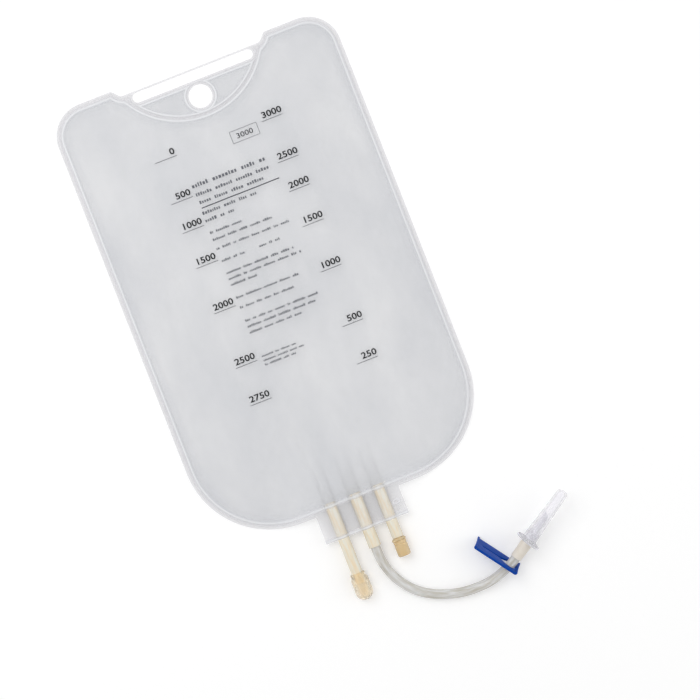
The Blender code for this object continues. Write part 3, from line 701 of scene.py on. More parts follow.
def grid_quads(rows, columns, wrap_rows):
    """The quads of a grid of vertices whose rows are rings, joined end to end too where its rows wrap."""
    index = np.arange(rows * columns).reshape(rows, columns)
    if wrap_rows:
        index = np.concatenate([index, index[:1]])
    index = np.concatenate([index, index[:, :1]], axis=1)
    quads = np.stack([index[:-1, :-1], index[:-1, 1:], index[1:, 1:], index[1:, :-1]], axis=2)
    return quads.reshape(-1, 4).tolist()


def eased(corners, radius, steps=3, closed=False):
    """A profile with each corner turned into a short curve that starts and ends `radius` from it."""
    rows = np.array([row if len(row) > 2 else (row[0], row[0], row[1]) for row in corners], float)
    made = []
    count = len(rows)
    for place in range(count):
        here = rows[place]
        if not closed and place in (0, count - 1):
            made.append(here[None])
            continue
        before, after = rows[place - 1] - here, rows[(place + 1) % count] - here
        reach = [min(radius, 0.45 * float(np.linalg.norm(side))) for side in (before, after)]
        first = here + before / max(np.linalg.norm(before), 1e-12) * reach[0]
        last = here + after / max(np.linalg.norm(after), 1e-12) * reach[1]
        t = np.linspace(0, 1, steps + 1)[:, None]
        made.append((1 - t) ** 2 * first + 2 * t * (1 - t) * here + t**2 * last)
    return np.concatenate(made)


def turned(profile, place, closed, relief=None, slant=None):
    """A profile of (half width, half height, along) carried once round the axis.

    x = half width * cos a, y = half height * sin a, z = along; relief(angle, along, half width) is added to
    both halves, and slant(along) * y to z.
    """
    angle = np.linspace(0, 2 * math.pi, TURNED_SIDES, endpoint=False)[None, :]
    wide, tall, along = (profile[:, axis][:, None] for axis in range(3))
    proud = np.zeros((len(profile), TURNED_SIDES)) if relief is None else relief(angle, along, wide)
    x = (wide + proud) * np.cos(angle)
    y = (tall + proud) * np.sin(angle)
    lean = 0.0 if slant is None else slant(along)
    z = along + lean * y + 0 * angle
    verts = np.stack([x, y, z], axis=2).reshape(-1, 3)
    return placed(verts, place), grid_quads(len(profile), TURNED_SIDES, closed)


def add_turned(name, profile, place, closed, material, **shape):
    """Adds a piece whose profile is carried once round its axis, shaped as `turned` says."""
    verts, faces = turned(profile, place, closed, **shape)
    return add_piece(name, finish_mesh(name, verts, faces, material))


def joined(*parts):
    """Several closed skins as one list of vertices and faces."""
    verts, faces, start = [], [], 0
    for part_verts, part_faces in parts:
        verts.append(part_verts)
        faces += [[corner + start for corner in face] for face in part_faces]
        start += len(part_verts)
    return np.concatenate(verts), faces


def smooth_route(route, steps):
    """Points on a cubic curve through a route's points, its slope at each taken from the two beside it."""
    spots = np.array(route)
    ends = np.concatenate([[2 * spots[0] - spots[1]], spots, [2 * spots[-1] - spots[-2]]])
    t = (np.arange(steps) / steps)[None, :, None]
    before, start, end, after = (ends[k : len(ends) - 3 + k][:, None] for k in range(4))
    pull = (end - before) * (t - 2 * t**2 + t**3) / 2 + (after - start) * (t**3 - t**2) / 2
    curve = start * (1 - 3 * t**2 + 2 * t**3) + end * (3 * t**2 - 2 * t**3) + pull
    return np.concatenate([curve.reshape(-1, 3), spots[-1:]])


def clamp_axes():
    """The clamp's eye, and its directions: to its slit, across its plate, and out of its lipped face."""
    ahead = Vector((math.cos(CLAMP_ANGLE), math.sin(CLAMP_ANGLE), 0.0))
    up = Vector((0.0, 0.0, 1.0))
    across = math.cos(CLAMP_LEAN) * up - math.sin(CLAMP_LEAN) * ahead
    face = math.cos(CLAMP_LEAN) * ahead + math.sin(CLAMP_LEAN) * up
    return Vector(FILL_TUBE_ROUTE[CLAMP_ROUTE_POINT]), across.cross(face), across, face


def hose_along(path, bore, neck=None):
    """A hose along a path: centre + radius * (cos a * side + sin a * up), its wall closed at both ends.

    With a neck (centre, axis) it is flattened there: each point's height along the axis is scaled by a share
    that rises from NECK_SHARE to 1 with the distance from the neck's centre.
    """
    ahead = np.gradient(path, axis=0)
    ahead /= np.linalg.norm(ahead, axis=1, keepdims=True)
    side = np.cross(ahead, (0.0, 0.0, 1.0))
    side /= np.linalg.norm(side, axis=1, keepdims=True)
    up = np.cross(side, ahead)
    angle = np.linspace(0, 2 * math.pi, HOSE_SIDES, endpoint=False)
    ring = np.cos(angle)[None, :, None] * side[:, None] + np.sin(angle)[None, :, None] * up[:, None]
    skins = []
    for radius in (FILL_TUBE_DIAMETER / 2, bore / 2):
        skin = path[:, None] + radius * ring
        if neck:
            centre, axis = np.array(neck[0]), np.array(neck[1])
            along = np.linalg.norm(path - centre, axis=1)
            share = NECK_SHARE + (1 - NECK_SHARE) * smooth_step((along - NECK_HALF) / NECK_RUN)
            off = (skin - centre) @ axis
            skin = skin + (off * (share[:, None] - 1))[:, :, None] * axis
        skins.append(skin)
    verts = np.concatenate([skins[0], skins[1][::-1]])
    return verts.reshape(-1, 3), grid_quads(len(verts), HOSE_SIDES, True)


def film_sheet(name, pattern, low, high, marks, material):
    """One film: the flat pattern at its underside and at its face, closed round its rims, with its marks."""
    flat, triangles, rim = pattern
    count = len(flat)
    verts = np.concatenate([np.column_stack([flat, low]), np.column_stack([flat, high])])
    faces = (triangles + count).tolist() + triangles[:, ::-1].tolist()
    faces += np.column_stack([rim[:, 0], rim[:, 1], rim[:, 1] + count, rim[:, 0] + count]).tolist()
    mesh = bpy.data.meshes.new(name)
    mesh.from_pydata(verts.tolist(), [], faces)
    for title, values in marks.items():
        attribute = mesh.attributes.new(title, "FLOAT", "POINT")
        attribute.data.foreach_set("value", np.tile(values, 2))
    mesh.shade_smooth()
    mesh.set_sharp_from_angle(angle=math.radians(50))
    mesh.materials.append(material)
    return add_piece(name, mesh)


# Settings


def metres(name, description, default):
    """A setting in metres."""
    return bpy.props.FloatProperty(name=name, description=description, default=default, subtype="DISTANCE")


def watts(name, description, default):
    """A setting in watts."""
    return bpy.props.FloatProperty(name=name, description=description, default=default, unit="POWER")


def srgb(name, description, hex_code):
    """A colour setting, with its default as an sRGB hex value."""
    default = linear(hex_code)[:3]
    return bpy.props.FloatVectorProperty(name=name, description=description, default=default, subtype="COLOR")


class BagFilmSettings(bpy.types.PropertyGroup):
    film_colour: srgb("Film", "Lighter tone of the film", "F7F8FC")
    film_shade: srgb("Film shade", "Darker tone of the film", "EBEDF3")
    weld_band_colour: srgb("Weld band", "Tone of the film where it is welded", "F6F5FA")
    film_milk: bpy.props.FloatProperty(
        name="Milkiness",
        description="How much of what lies behind it one face of a film hides",
        default=0.15,
        min=0.0,
        max=1.0,
    )
    line_height: metres("Weld line height", "How far a weld line stands proud", 0.00004)


class PrintSettings(bpy.types.PropertyGroup):
    numeral_height: metres("Numeral height", "Height of the scale's numerals", 0.0052)
    rule_thickness: metres("Rule thickness", "Thickness of the rule under each numeral", 0.0004)
    ink_thickness: metres("Ink thickness", "Thickness of the ink", 0.00003)


class ClampSettings(bpy.types.PropertyGroup):
    edge_round: metres("Edge rounding", "Radius of the clamp's moulded edges", 0.00032)


class StageSettings(bpy.types.PropertyGroup):
    key_power: watts("Key light", "Power of the overhead softbox", 10.5)
    fill_power: watts("Fill light", "Power of the side softbox", 3.0)
    sky_strength: bpy.props.FloatProperty(
        name="Studio fill", description="Level of the even light from all sides", default=0.6
    )
    view_width: metres("View width", "Width of what the camera sees", 0.5565)


# Operators


class FLUIDBAG_OT_stage(bpy.types.Operator):
    """Sets up the camera straight above, the white floor and the studio light"""

    bl_idname = "fluidbag.stage"
    bl_label = "Stage"

    def execute(self, context):
        scene = context.scene
        settings = scene.fluidbag_stage
        scene.view_settings.view_transform = "Standard"
        camera = bpy.data.objects.new("camera", bpy.data.cameras.new("camera"))
        scene.collection.objects.link(camera)
        scene.camera = camera
        camera.data.lens = LENS
        camera.data.clip_end = 20
        place = Matrix((VIEW_RIGHT, VIEW_UP, VIEW_RIGHT.cross(VIEW_UP))).transposed().to_4x4()
        place.translation = (*VIEW_MIDDLE, settings.view_width * LENS / camera.data.sensor_width)
        camera.matrix_world = place

        floor_mesh = bpy.data.meshes.new("floor")
        corners = [(x * FLOOR_REACH, y * FLOOR_REACH, 0) for x, y in ((-1, -1), (1, -1), (1, 1), (-1, 1))]
        floor_mesh.from_pydata(corners, [], [(0, 1, 2, 3)])
        floor = bpy.data.objects.new("floor", floor_mesh)
        floor.location = (0.0, 0.0, -FLOOR_DROP)
        scene.collection.objects.link(floor)
        floor_mesh.materials.append(self.paper())

        for name, place, size, setting in SOFTBOXES:
            lamp = bpy.data.lights.new(name, "AREA")
            lamp.energy = getattr(settings, setting)
            lamp.size = size
            lamp_object = bpy.data.objects.new(name, lamp)
            lamp_object.location = place
            lamp_object.rotation_mode = "QUATERNION"
            lamp_object.rotation_quaternion = (-Vector(place)).to_track_quat("-Z", "Y")
            scene.collection.objects.link(lamp_object)

        world = bpy.data.worlds.new("studio")
        scene.world = world
        world.use_nodes = True
        tree = world.node_tree
        tree.nodes.clear()
        light, backdrop = (
            add_node(tree, "ShaderNodeBackground", {"Color": linear("FFFFFF"), "Strength": level}).outputs[0]
            for level in (settings.sky_strength, 1.0)
        )
        mix = add_node(tree, "ShaderNodeMixShader", None, {0: self.seen(tree), 1: light, 2: backdrop})
        add_node(tree, "ShaderNodeOutputWorld", None, {"Surface": mix.outputs[0]})
        return {"FINISHED"}

    def seen(self, tree):
        """1 for rays from the camera, off gloss or through clear plastic, which show the white backdrop."""
        path = add_node(tree, "ShaderNodeLightPath")
        share = path.outputs["Is Camera Ray"]
        for ray in ("Is Glossy Ray", "Is Transmission Ray"):
            links = {0: share, 1: path.outputs[ray]}
            share = add_node(tree, "ShaderNodeMath", {"operation": "MAXIMUM"}, links).outputs[0]
        return share

    def paper(self):
        """White seamless paper: matt, made up to full white for the camera so that only shadows show."""
        material, tree, shader, place = new_material("seamless paper")
        grain = add_node(tree, "ShaderNodeTexNoise", {"Scale": 900.0, "Detail": 2.0}, {"Vector": place})
        tones = {"data_type": "RGBA", 6: linear("F4F4F4"), 7: linear("F8F8F8")}
        tone = add_node(tree, "ShaderNodeMix", tones, {0: grain.outputs["Fac"]}).outputs[2]
        set_node(tree, shader, {"Roughness": 0.9, "Specular IOR Level": 0.1}, {"Base Color": tone})
        glow = add_node(tree, "ShaderNodeEmission", {"Color": linear("FFFFFF"), "Strength": 0.2})
        lit = add_node(tree, "ShaderNodeAddShader", None, {0: shader.outputs[0], 1: glow.outputs[0]})
        links = {0: self.seen(tree), 1: shader.outputs[0], 2: lit.outputs[0]}
        mix = add_node(tree, "ShaderNodeMixShader", None, links)
        set_node(tree, tree.nodes["Material Output"], None, {"Surface": mix.outputs[0]})
        return material


class FLUIDBAG_OT_fill_tube(bpy.types.Operator):
    """Makes the fill tube, necked where the clamp pinches it, and a soft round sleeve over the neck"""

    bl_idname = "fluidbag.fill_tube"
    bl_label = "Fill tube"

    def execute(self, context):
        material = moulded("extruded soft tubing", extruded=True)
        path = smooth_route(FILL_TUBE_ROUTE, ROUTE_STEPS)
        eye, _, across, _ = clamp_axes()
        down = np.concatenate([[0.0], np.cumsum(np.linalg.norm(np.diff(path, axis=0), axis=1))])
        self.hose("fill_tube_hose", path, down, material, FILL_TUBE_BORE, (eye, across))
        near = np.linalg.norm(path - np.array(eye), axis=1) < SLEEVE_REACH
        bore = FILL_TUBE_DIAMETER - SLEEVE_WALLS
        pinch = self.hose("fill_tube_pinch", path[near], down[near], material, bore)
        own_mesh(pinch)
        return {"FINISHED"}

    def hose(self, name, path, down, material, bore, neck=None):
        """A piece of hose along a path, marked with how far down the whole hose each of its rings is."""
        verts, faces = hose_along(path, bore, neck)
        mesh = finish_mesh(name, verts, faces, material, 60)
        return add_piece(name, mark_round(mesh, np.concatenate([down, down[::-1]]), HOSE_SIDES))


class FLUIDBAG_OT_films(bpy.types.Operator):
    """Makes the back and front films with their weld lines, tunnels over the port tubes, slot and hole"""

    bl_idname = "fluidbag.films"
    bl_label = "Films"

    def execute(self, context):
        settings = context.scene.fluidbag_film
        material = eva_film(settings)
        pattern = film_pattern()
        x, y = pattern[0][:, 0], pattern[0][:, 1]
        field = FilmField(x, y)
        lines, free = field.lines(), field.free()
        marks = {"weld": lines, "band": 1 - free}
        rise = weld_rise(x, y)
        tunnels = tunnel_height(x) * plate_share(y)
        pressed = WELD_PRESS * (1 - free)

        back_low = np.maximum(rise - tunnels, 0.0)
        back_high = back_low + FILM_THICKNESS - pressed * 0.5
        film_sheet("back_film_sheet", pattern, back_low, back_high, marks, material)
        swell = sag(x, y) + slack(x, y) * sag(x, y) / FILM_SAG
        front_low = FILM_THICKNESS + GAP + rise + tunnels + swell
        front_high = front_low + FILM_THICKNESS - pressed + settings.line_height * lines
        front_high += EMBOSS_HEIGHT * field.emboss()
        film_sheet("front_film_sheet", pattern, front_low, front_high, marks, material)
        return {"FINISHED"}


class FLUIDBAG_OT_scale_print(bpy.types.Operator):
    """Prints the volume scale, its rules, the capacity box and plain bars in place of wording"""

    bl_idname = "fluidbag.scale_print"
    bl_label = "Print"

    def execute(self, context):
        settings = context.scene.fluidbag_print
        numerals, rules = [], []
        thick = settings.rule_thickness / 2
        for right, rule_left, rule_right, texts in SCALE_COLUMNS:
            for text, y in zip(texts, SCALE_ROWS):
                verts, faces = self.glyphs(text, settings.numeral_height, NUMERAL_WEIGHT)
                numerals.append((verts + (right / 1000 - verts[:, 0].max(), y / 1000), faces))
                low = y / 1000 - RULE_DROP
                rules.append(self.bar(rule_left / 1000, rule_right / 1000, low - thick, low + thick))
        verts, faces = self.glyphs("3000", CAPACITY_HEIGHT, 0.0)
        numerals.append((verts + CAPACITY_MIDDLE, faces))
        rules += self.frame_bars(*CAPACITY_BOX)
        rules.append(self.bar(*LABEL_RULE))
        for name, parts, ink in (
            ("scale_numerals", numerals, screen_ink("screen ink black", "0E0F11", "1D1E21")),
            ("scale_rules", rules, screen_ink("screen ink thin", "3C3E43", "515358")),
            ("label_bars", self.word_bars(), screen_ink("screen ink worn", "5A5C62", "777980")),
        ):
            self.lay(name, parts, ink, settings.ink_thickness)
        return {"FINISHED"}

    def glyphs(self, text, height, weight):
        """A flat mesh of some numerals, centred on its middle, scaled to a height and a little widened."""
        curve = bpy.data.curves.new("numerals", "FONT")
        curve.body = text
        curve.size = 1.0
        curve.offset = weight
        curve.resolution_u = 3
        made = bpy.data.objects.new("numerals", curve)
        bpy.context.scene.collection.objects.link(made)
        mesh = made.to_mesh()
        verts = np.array([tuple(v.co)[:2] for v in mesh.vertices])
        faces = [list(face.vertices) for face in mesh.polygons]
        made.to_mesh_clear()
        bpy.data.objects.remove(made, do_unlink=True)
        low, high = verts.min(axis=0), verts.max(axis=0)
        verts = (verts - (low + high) / 2) * height / (high[1] - low[1]) * (NUMERAL_STRETCH, 1.0)
        return verts, faces

    def bar(self, left, right, low, high):
        """A flat bar, cut every 3 mm so that it can follow the film."""
        count = max(2, round((right - left) / 0.003) + 1)
        xs = np.linspace(left, right, count)
        verts = np.concatenate([np.column_stack([xs, xs * 0 + low]), np.column_stack([xs, xs * 0 + high])])
        faces = [[k, k + 1, k + 1 + count, k + count] for k in range(count - 1)]
        return verts, faces

    def frame_bars(self, left, right, low, high, line):
        """The four sides of a box."""
        return [
            self.bar(left, right, low, low + line),
            self.bar(left, right, high - line, high),
            self.bar(left, left + line, low + line, high - line),
            self.bar(right - line, right, low + line, high - line),
        ]

    def word_bars(self):
        """Rows of small blocks of random width and height, in groups of two to eight."""
        draw = np.random.RandomState(7)
        bars = []
        for start, end, middle, tall in WORD_ROWS:
            left = float(start)
            low = (middle - tall / 2) / 1000
            while left < end - tall:
                for _ in range(draw.randint(2, 9)):
                    wide = tall * draw.uniform(0.3, 0.65)
                    high = low + tall / 1000 * draw.choice((0.75, 0.75, 1.0))
                    if left + wide < end:
                        bars.append(self.bar(left / 1000, (left + wide) / 1000, low, high))
                    left += wide + 0.28 * tall
                left += 1.1 * tall
        return bars

    def lay(self, name, parts, material, thickness):
        """Lays flat shapes on the film: each point takes the film's height, and the ink its thickness."""
        flat, faces = joined(*parts)
        count = len(flat)
        low = front_face(flat[:, 0], flat[:, 1]) + INK_CLEARANCE
        high = low + INK_BED + thickness
        verts = np.concatenate([np.column_stack([flat, low]), np.column_stack([flat, high])])
        seen = dict.fromkeys(side for face in faces for side in zip(face, face[1:] + face[:1]))
        rim = [side for side in seen if side[::-1] not in seen]
        walls = [[first, second, second + count, first + count] for first, second in rim]
        skins = [[corner + count for corner in face] for face in faces] + [face[::-1] for face in faces]
        mesh = bpy.data.meshes.new(name)
        mesh.from_pydata(verts.tolist(), [], skins + walls)
        mesh.materials.append(material)
        add_piece(name, mesh)


class FLUIDBAG_OT_ports(bpy.types.Operator):
    """Makes the port tubes, the left one's membrane and cap, and the right one's collar, septum and cap"""

    bl_idname = "fluidbag.ports"
    bl_label = "Ports"

    def execute(self, context):
        self.tubes()
        self.admin_fittings(port_place(ADMIN_X))
        self.injection_fittings(port_place(INJECTION_X))
        return {"FINISHED"}

    def tubes(self):
        """Straight tubes with rounded lips, closed all round their walls."""
        material = moulded("extruded EVA tubing", extruded=True)
        start = PLATE_Y - TUBE_TOP_Y
        for name, x, outer, bore, reach in PORT_TUBES:
            corners = [(outer / 2, start), (outer / 2, reach), (bore / 2, reach), (bore / 2, start)]
            profile = eased(corners, 0.0006, 4, True)
            verts, faces = turned(profile, port_place(x), True)
            mesh = finish_mesh(name, verts, faces, material)
            add_piece(name, mark_round(mesh, profile[:, 2], TURNED_SIDES))

    def admin_fittings(self, place):
        """The membrane, a thin web with a skirt, and the cap, an oval that ends in a dome."""
        web, wide, skirt, wall = 0.0200, 0.0030, 0.005, 0.0008
        corners = [
            (0, web), (wide, web), (wide, web - skirt), (wide - wall, web - skirt),
            (wide - wall, web - wall), (0, web - wall),
        ]
        add_turned("admin_membrane_web", eased(corners, 0.0003), place, False, moulded("moulded EVA"))

        mouth, end, bore, wall = 0.0296, 0.0521, 0.0049, 0.0012
        neck = bore + wall
        groove = neck - 0.0003
        wide, tall = 0.0071, 0.0061
        outside = [
            (bore, bore, mouth), (neck, neck, mouth), (neck, neck, mouth + 0.0016),
            (groove, groove, mouth + 0.0019), (groove, groove, mouth + 0.0026),
            (wide, tall, mouth + 0.0052), (wide, tall, end - wide),
        ]
        turn = np.radians(np.linspace(0, 90, 13))[1:]
        dome, inner = (
            np.stack([x * np.cos(turn), y * np.cos(turn), top - x * (1 - np.sin(turn))], axis=1)
            for x, y, top in ((wide, tall, end), (bore, bore, end - wall))
        )
        for curve in (dome, inner):
            curve[-1, :2] = 0
        inner_foot = [(bore, bore, end - wall - bore)]
        profile = np.concatenate([inner[::-1], inner_foot, eased(outside, 0.0006), dome])
        add_turned("admin_cap_shell", profile, place, False, moulded("moulded port cap"))

    def injection_fittings(self, place):
        """The collar on its spigot, the cap with its grooved skirt and open roof, and the rubber plug."""
        low, high, bore = 0.0153, 0.0175, 0.0042
        neck = bore - GAP
        collar = [
            (0.0030, 0.0080), (0.0030, low), (0.0046, low), (0.0059, high - 0.0007), (0.0059, high),
            (neck, high), (neck, high + 0.004), (0.0018, high + 0.004), (0.0018, 0.0080),
        ]
        mouth = high + GAP
        end = mouth + 0.0128
        roof = end - 0.0011
        cap = [
            (0.0053, mouth), (0.0053, mouth + 0.0020), (0.0050, mouth + 0.0024), (0.0050, mouth + 0.0030),
            (0.0053, mouth + 0.0034), (0.0053, end - 0.0009), (0.0044, end), (0.0026, end), (0.0026, roof),
            (bore, roof), (bore, mouth),
        ]
        amber = moulded("amber polycarbonate")
        for name, corners in (("injection_collar_ring", collar), ("injection_cap_shell", cap)):
            add_turned(name, eased(corners, 0.0003, closed=True), place, True, amber)
        foot, shoulder, top = high + 0.0043, roof - GAP, end - GAP
        plug = [(0, foot), (neck, foot), (neck, shoulder), (0.0023, shoulder), (0.0023, top), (0, top)]
        add_turned("injection_septum_plug", eased(plug, 0.0003), place, False, moulded("isoprene rubber"))


class FLUIDBAG_OT_spike_set(bpy.types.Operator):
    """Makes the adapter, the filling spike with its ribbed flange, and the spike's cover"""

    bl_idname = "fluidbag.spike_set"
    bl_label = "Spike set"

    def execute(self, context):
        level = math.cos(SPIKE_PITCH)
        ahead = Vector((level * math.cos(SPIKE_ANGLE), level * math.sin(SPIKE_ANGLE), math.sin(SPIKE_PITCH)))
        place = along_axis(SPIKE_PLACE, ahead) @ Matrix.Rotation(SPIKE_ROLL, 4, "Z")
        bore, back = 0.00415, -0.0155
        sleeve = [(bore, back), (0.00465, back), (0.00465, -0.0148), (0.0049, -GAP), (bore, -GAP)]
        profile = eased(sleeve, 0.0004, closed=True)
        add_turned("adapter_sleeve", profile, place, True, moulded("moulded cream vinyl"))
        seat = 0.0030
        self.spike(place, 0.0018, seat)
        self.cover(place, seat + GAP)
        return {"FINISHED"}

    def spike(self, place, face, seat):
        """The spike: a stem, an oval flange with a rim and ribs, a boss, and a hollow slanted point."""
        boss, point = 0.0045, seat + 0.006
        tip = face + 0.0245
        flange = [
            (0.00385, 0.00385, -0.0080), (0.00385, 0.00385, 0.0), (0.0118, 0.0078, 0.0),
            (0.0130, 0.0090, 0.0003), (0.0130, 0.0090, face - 0.0001), (0.0122, 0.0082, face),
            (0.0115, 0.0075, face - 0.0004), (0.0082, 0.0077, face - 0.0002), (0.0076, 0.0076, face),
            (0.0064, 0.0064, seat), (boss, boss, seat), (boss, boss, seat + 0.0058),
            (0.0031, 0.0031, seat + 0.0060), (0.0023, 0.0023, tip - 0.0008), (0.0020, 0.0020, tip),
            (0.0013, 0.0013, tip), (0.0013, 0.0013, -0.0080),
        ]

        def slant(along):
            return 1.1 * smooth_step((along - point) / (tip - seat - 0.006))

        moulding = turned(eased(flange, 0.00025, 2, True), place, True, slant=slant)
        verts, faces = joined(moulding, *self.ribs(place, face))
        add_piece("spike_moulding", finish_mesh("spike_moulding", verts, faces, moulded("frosted ABS")))

    def ribs(self, place, face):
        """Low ribs that run out over the flange's face where there is room, each a rounded bar."""
        start, wide, stations = 0.0074, 0.00035, 6
        half = [(wide, -0.0006), (wide, 0.00005), (wide * 0.5, 0.0003)]
        section = np.array([(-x, z) for x, z in half] + half[::-1])
        made = []
        for turn in np.radians(np.arange(15, 375, 30)):
            direction = np.array([math.cos(turn), math.sin(turn)])
            reach = 1 / math.hypot(direction[0] / 0.0119, direction[1] / 0.0079)
            if reach < 0.0086:
                continue
            along = np.linspace(start, reach, stations)
            beside = direction[::-1] * (-1, 1)
            flat = along[:, None, None] * direction + section[None, :, :1] * beside
            lower = np.linspace(1, 0.6, stations)[:, None]
            high = np.broadcast_to(face + section[None, :, 1] * lower, flat.shape[:2])
            verts = np.concatenate([flat, high[:, :, None]], axis=2).reshape(-1, 3)
            ends = [[5, 4, 3, 2, 1, 0], [30, 31, 32, 33, 34, 35]]
            made.append((placed(verts, place), grid_quads(stations, len(section), False) + ends))
        return made

    def cover(self, place, mouth):
        """The cover: a closed sheath that narrows to a rounded end, with shallow flutes on its outside."""
        end = mouth + 0.0466
        near, far, round_end, wall = 0.0060, 0.0045, 0.0026, 0.0012
        turn = np.radians(np.linspace(0, 90, 9))
        share = np.linspace(0.04, 0.96, 10)
        inner, roof = near - wall, end - wall
        taper = np.stack([near + (far - near) * share, mouth + (end - round_end - mouth) * share], axis=1)
        tip = np.stack([far - round_end * (1 - np.cos(turn)), end - round_end * (1 - np.sin(turn))], axis=1)
        profile = np.concatenate(
            [
                [(0.0, roof), (far - wall - 0.0009, roof), (far - wall, roof - 0.0011)],
                [(inner, mouth + 0.0002), (inner + 0.0002, mouth), (0.0058, mouth), (near, mouth + 0.0002)],
                taper,
                tip,
                [(0.0, end)],
            ]
        )

        def flutes(angle, along, wide):
            """Eight shallow flutes up the outside to the round end: 0.1 mm * (0.5 + 0.5 cos 8a) deep."""
            start = smooth_step((along - mouth - 0.010) / 0.008)
            stop = 1 - smooth_step((along - end + 0.008) / 0.004)
            outside = wide > 0.0047 + (0.0036 - 0.0047) * (along - mouth) / (end - mouth)
            return -0.00010 * (start * stop) * outside * (0.5 + 0.5 * np.cos(8 * angle))

        profile = np.column_stack([profile[:, 0], profile])
        add_turned("cover_sheath", profile, place, False, moulded("milky polyethylene"), relief=flutes)


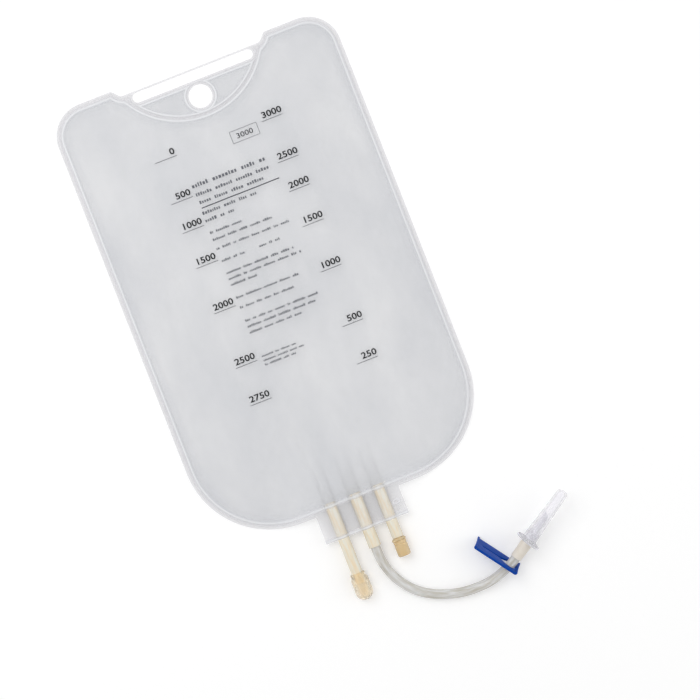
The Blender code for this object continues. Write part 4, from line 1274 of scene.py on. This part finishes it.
class FLUIDBAG_OT_clamp(bpy.types.Operator):
    """Makes the slide clamp: a plate with turned-up ends and a keyhole that runs from an eye to a slit"""

    bl_idname = "fluidbag.clamp"
    bl_label = "Slide clamp"

    def execute(self, context):
        eye, to_slit, across, face = clamp_axes()
        half = 0.0200
        eye_x = 0.0076 - half
        place = Matrix.Translation(eye - eye_x * to_slit)
        place = place @ Matrix((to_slit, across, face)).transposed().to_4x4()
        material = moulded("moulded polypropylene")
        strip, cutter = (
            bpy.data.objects.new(name, finish_mesh(name, *shape, material))
            for name, shape in (("strip", self.strip(half)), ("cutter", self.keyhole(eye_x)))
        )
        for made in (strip, cutter):
            context.scene.collection.objects.link(made)
        cut = strip.modifiers.new("keyhole", "BOOLEAN")
        cut.operation, cut.solver, cut.object = "DIFFERENCE", "EXACT", cutter
        ease = strip.modifiers.new("edges", "BEVEL")
        ease.width = context.scene.fluidbag_clamp.edge_round
        ease.segments = 3
        ease.limit_method = "ANGLE"
        ease.angle_limit = math.radians(50)
        ease.harden_normals = False
        context.view_layer.update()
        mesh = bpy.data.meshes.new_from_object(strip.evaluated_get(context.evaluated_depsgraph_get()))
        for made in (strip, cutter):
            bpy.data.objects.remove(made, do_unlink=True)
        mesh.transform(place)
        mesh.name = "clamp_plate"
        mesh.shade_smooth()
        mesh.set_sharp_from_angle(angle=math.radians(40))
        add_piece("clamp_plate", mesh)
        return {"FINISHED"}

    def strip(self, half):
        """The plate: a flat section with a lip at both ends, carried across it, its ends a little bowed."""
        low, high, wall, wide = -0.0009, 0.0009, 0.0018, 0.0090
        top, inner = high + 0.0010, half - wall
        end = np.concatenate(
            [
                arc((inner, low + wall), wall, -90, 0, 6),
                [(half, top - 0.0005), (half - 0.0002, top - 0.0001), (half - 0.0006, top)],
                [(inner + 0.0006, top), (inner + 0.0002, top - 0.0002), (inner, top - 0.0006)],
                [(inner, high + 0.0003), (inner - 0.0001, high + 0.0001), (inner - 0.0004, high)],
            ]
        )
        section = np.concatenate([end, end[::-1] * (-1.0, 1.0)])
        count = len(section)
        stations = np.linspace(-wide, wide, 17)
        x, z = (np.repeat(section[None, :, axis], len(stations), axis=0) for axis in (0, 1))
        y = np.repeat(stations[:, None], count, axis=1)
        outer = smooth_step((np.abs(x) - 0.0150) / 0.0040)
        bow = (1 - (stations / wide) ** 2)[:, None]
        x = x - np.sign(x) * outer * bow * 0.0003
        verts = np.stack([x, y, z], axis=2).reshape(-1, 3)
        ends = [list(range(count)), list(range(len(verts) - count, len(verts)))[::-1]]
        return verts, grid_quads(len(stations), count, False) + ends

    def keyhole(self, eye_x):
        """The block that cuts the keyhole: a round eye that narrows by a smooth step to a slit."""
        narrowing = 0.0125
        share = np.linspace(0, 1, 13)
        slit_end = eye_x + narrowing + 0.0140
        rise = KEYHOLE_EYE_RADIUS - KEYHOLE_SLIT_HALF
        edge = np.stack([eye_x + narrowing * share, -KEYHOLE_EYE_RADIUS + rise * smooth_step(share)], axis=1)
        outline = np.concatenate(
            [
                arc((eye_x, 0.0), KEYHOLE_EYE_RADIUS, 90, 270, 24)[:-1],
                edge,
                arc((slit_end - KEYHOLE_SLIT_HALF, 0.0), KEYHOLE_SLIT_HALF, -90, 90, 8),
                edge[:0:-1] * (1.0, -1.0),
            ]
        )
        count = len(outline)
        levels = (-0.003, 0.003)
        verts = np.concatenate([np.column_stack([outline, np.full(count, level)]) for level in levels])
        index = np.arange(count)
        after = (index + 1) % count
        faces = [index[::-1].tolist(), (index + count).tolist()]
        faces += np.column_stack([index, after, after + count, index + count]).tolist()
        return verts, faces


class FLUIDBAG_OT_cord(bpy.types.Operator):
    bl_idname = "fluidbag.cord"
    bl_label = "Cord"

    def execute(self, context):
        return {"FINISHED"}


class FLUIDBAG_PT_panel(bpy.types.Panel):
    """Lists the bag's settings and the steps that make it"""

    bl_idname = "FLUIDBAG_PT_panel"
    bl_label = "Fluid Bag"
    bl_space_type = "VIEW_3D"
    bl_region_type = "UI"
    bl_category = "Fluid Bag"

    def draw(self, context):
        layout = self.layout
        for group in SETTINGS:
            settings = getattr(context.scene, group)
            box = layout.box()
            for name in settings.__annotations__:
                box.prop(settings, name)
        for operator in OPERATORS:
            layout.operator(operator.bl_idname)


OPERATORS = (
    FLUIDBAG_OT_stage,
    FLUIDBAG_OT_fill_tube,
    FLUIDBAG_OT_films,
    FLUIDBAG_OT_scale_print,
    FLUIDBAG_OT_ports,
    FLUIDBAG_OT_spike_set,
    FLUIDBAG_OT_clamp,
    FLUIDBAG_OT_cord,
)
SETTINGS = {
    "fluidbag_film": BagFilmSettings,
    "fluidbag_print": PrintSettings,
    "fluidbag_clamp": ClampSettings,
    "fluidbag_stage": StageSettings,
}


def register():
    for group in (*SETTINGS.values(), *OPERATORS, FLUIDBAG_PT_panel):
        bpy.utils.register_class(group)
    for name, group in SETTINGS.items():
        setattr(bpy.types.Scene, name, bpy.props.PointerProperty(type=group))


def unregister():
    for name in SETTINGS:
        delattr(bpy.types.Scene, name)
    for group in (FLUIDBAG_PT_panel, *reversed(OPERATORS), *SETTINGS.values()):
        bpy.utils.unregister_class(group)


def main():
    register()
    bpy.ops.fluidbag.stage()
    bpy.ops.fluidbag.fill_tube()
    bpy.ops.fluidbag.films()
    bpy.ops.fluidbag.scale_print()
    bpy.ops.fluidbag.ports()
    bpy.ops.fluidbag.spike_set()
    bpy.ops.fluidbag.clamp()
    bpy.ops.fluidbag.cord()


if __name__ == "__main__":
    main()
